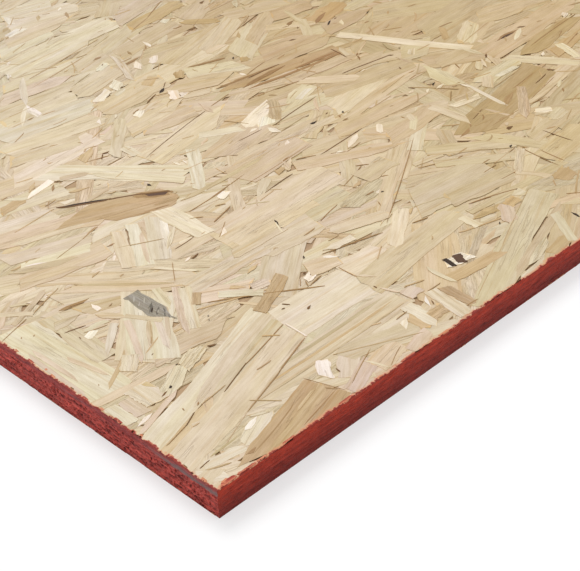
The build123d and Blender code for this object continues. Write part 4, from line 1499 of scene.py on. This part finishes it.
# The camera looks down at the near corner. It was solved from the sheet's four visible edge
# lines and its thickness, for a picture 580 pixels wide. Angles are in degrees.
cameraView = {
    "fromCorner": (-318.83, -383.79, 479.24),       # millimetres
    "yaw": 44.014,
    "pitch": 34.919,
    "roll": -2.289,
    "focalPixels": 1454.5,
    "pictureWide": 580,
}


def addCamera():
    yaw, pitch, roll = (math.radians(cameraView[name]) for name in ("yaw", "pitch", "roll"))
    forward = Vector((math.cos(pitch) * math.sin(yaw), math.cos(pitch) * math.cos(yaw), -math.sin(pitch)))
    right = Vector((math.cos(yaw), -math.sin(yaw), 0.0))
    up = right.cross(forward)
    turnedRight = math.cos(roll) * right + math.sin(roll) * up
    turnedUp = -math.sin(roll) * right + math.cos(roll) * up
    lens = bpy.data.cameras.new("view")
    lens.sensor_width = 36.0
    lens.lens = cameraView["focalPixels"] / cameraView["pictureWide"] * lens.sensor_width
    lens.clip_start = 0.01
    lens.clip_end = 50.0
    camera = bpy.data.objects.new("view", lens)
    bpy.context.scene.collection.objects.link(camera)
    turn = Matrix((turnedRight, turnedUp, -forward)).transposed().to_4x4()
    place = Vector(cameraView["fromCorner"]) + Vector((-halfLength, -halfWidth, 0.0))
    camera.matrix_world = Matrix.Translation(place * metre) @ turn
    bpy.context.scene.camera = camera


# The studio is in metres and watts
studio = {
    "floorHalf": 12.0,
    "worldLight": 0.72,
    "floorColour": (0.97, 0.97, 0.972, 1),
    "floorGlow": 0.55,
    "lampPlace": (-0.35, 1.25, 2.7),
    "lampTarget": (-1.0, -0.4, 0.0),
    "lampSize": 1.6,
    "lampPower": 62.0,
}


# A ray that goes to the eye, straight or off a gloss, is told from one that carries light
def eyeRay(tree):
    path = addNode(tree, "ShaderNodeLightPath")
    seen = calc(tree, "ADD", path.outputs["Is Camera Ray"], path.outputs["Is Glossy Ray"])
    return calc(tree, "MINIMUM", calc(tree, "ADD", seen, path.outputs["Is Transmission Ray"]), 1.0)


def addFloor():
    half = studio["floorHalf"]
    mesh = bpy.data.meshes.new("floor")
    corners = [(-half, -half, 0), (half, -half, 0), (half, half, 0), (-half, half, 0)]
    mesh.from_pydata(corners, [], [(0, 1, 2, 3)])
    floor = bpy.data.objects.new("floor", mesh)
    bpy.context.scene.collection.objects.link(floor)
    material, tree, shader = newMaterial("paleFloor")
    shader.inputs["Base Color"].default_value = studio["floorColour"]
    shader.inputs["Roughness"].default_value = 1.0
    shader.inputs["Specular IOR Level"].default_value = 0.0
    glow = addNode(tree, "ShaderNodeEmission")
    blend = addNode(tree, "ShaderNodeMixShader")
    give(tree, blend.inputs[0], calc(tree, "MULTIPLY", eyeRay(tree), studio["floorGlow"]))
    tree.links.new(shader.outputs[0], blend.inputs[1])
    tree.links.new(glow.outputs[0], blend.inputs[2])
    tree.links.new(blend.outputs[0], tree.nodes["Material Output"].inputs["Surface"])
    mesh.materials.append(material)


def addWorld():
    world = bpy.data.worlds.new("studio")
    bpy.context.scene.world = world
    world.use_nodes = True
    tree = world.node_tree
    sky = tree.nodes["Background"]
    sky.inputs["Color"].default_value = (1.0, 1.0, 1.0, 1)
    sky.inputs["Strength"].default_value = studio["worldLight"]
    backdrop = addNode(tree, "ShaderNodeBackground")
    backdrop.inputs["Color"].default_value = (1.0, 1.0, 1.0, 1)
    blend = addNode(tree, "ShaderNodeMixShader")
    give(tree, blend.inputs[0], eyeRay(tree))
    tree.links.new(sky.outputs[0], blend.inputs[1])
    tree.links.new(backdrop.outputs[0], blend.inputs[2])
    tree.links.new(blend.outputs[0], tree.nodes["World Output"].inputs["Surface"])


def addLamp(name, place, target, size, power):
    light = bpy.data.lights.new(name, "AREA")
    light.shape = "SQUARE"
    light.size = size
    light.energy = power
    lamp = bpy.data.objects.new(name, light)
    bpy.context.scene.collection.objects.link(lamp)
    place = Vector(place)
    aim = (Vector(target) - place).to_track_quat("-Z", "Y")
    lamp.matrix_world = Matrix.Translation(place) @ aim.to_matrix().to_4x4()


addCamera()
addFloor()
addWorld()
addLamp("softbox", studio["lampPlace"], studio["lampTarget"], studio["lampSize"], studio["lampPower"])
bpy.context.scene.view_settings.view_transform = "Standard"
print("camera, floor and lights set")

grainGroup = makeGrainGroup()
sealerGroup = makeSealerGroup()
strandMaterial = makeStrandMaterial(grainGroup, sealerGroup)
sideMaterial = makeSideMaterial()
coreMaterial = makeCoreMaterial(grainGroup)
print("materials made")

pieces = buildFace("top_strands", handLaid, topSizes, faceDetail["bare"], faceDetail["lanes"],
                   faceDetail["seed"], False, strandMaterial)
pieces += buildFace("under_strands", [], underSizes, faceDetail["underBare"], faceDetail["underLanes"],
                    faceDetail["underSeed"], True, strandMaterial)
coreLayer = buildCore(coreMaterial)
sawnSides = buildSides(sideMaterial)
for piece in pieces + [coreLayer, sawnSides]:
    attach(piece, "root")
    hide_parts("panel")
print("sheet built from", sum(len(piece.data.polygons) for piece in pieces), "strand faces")
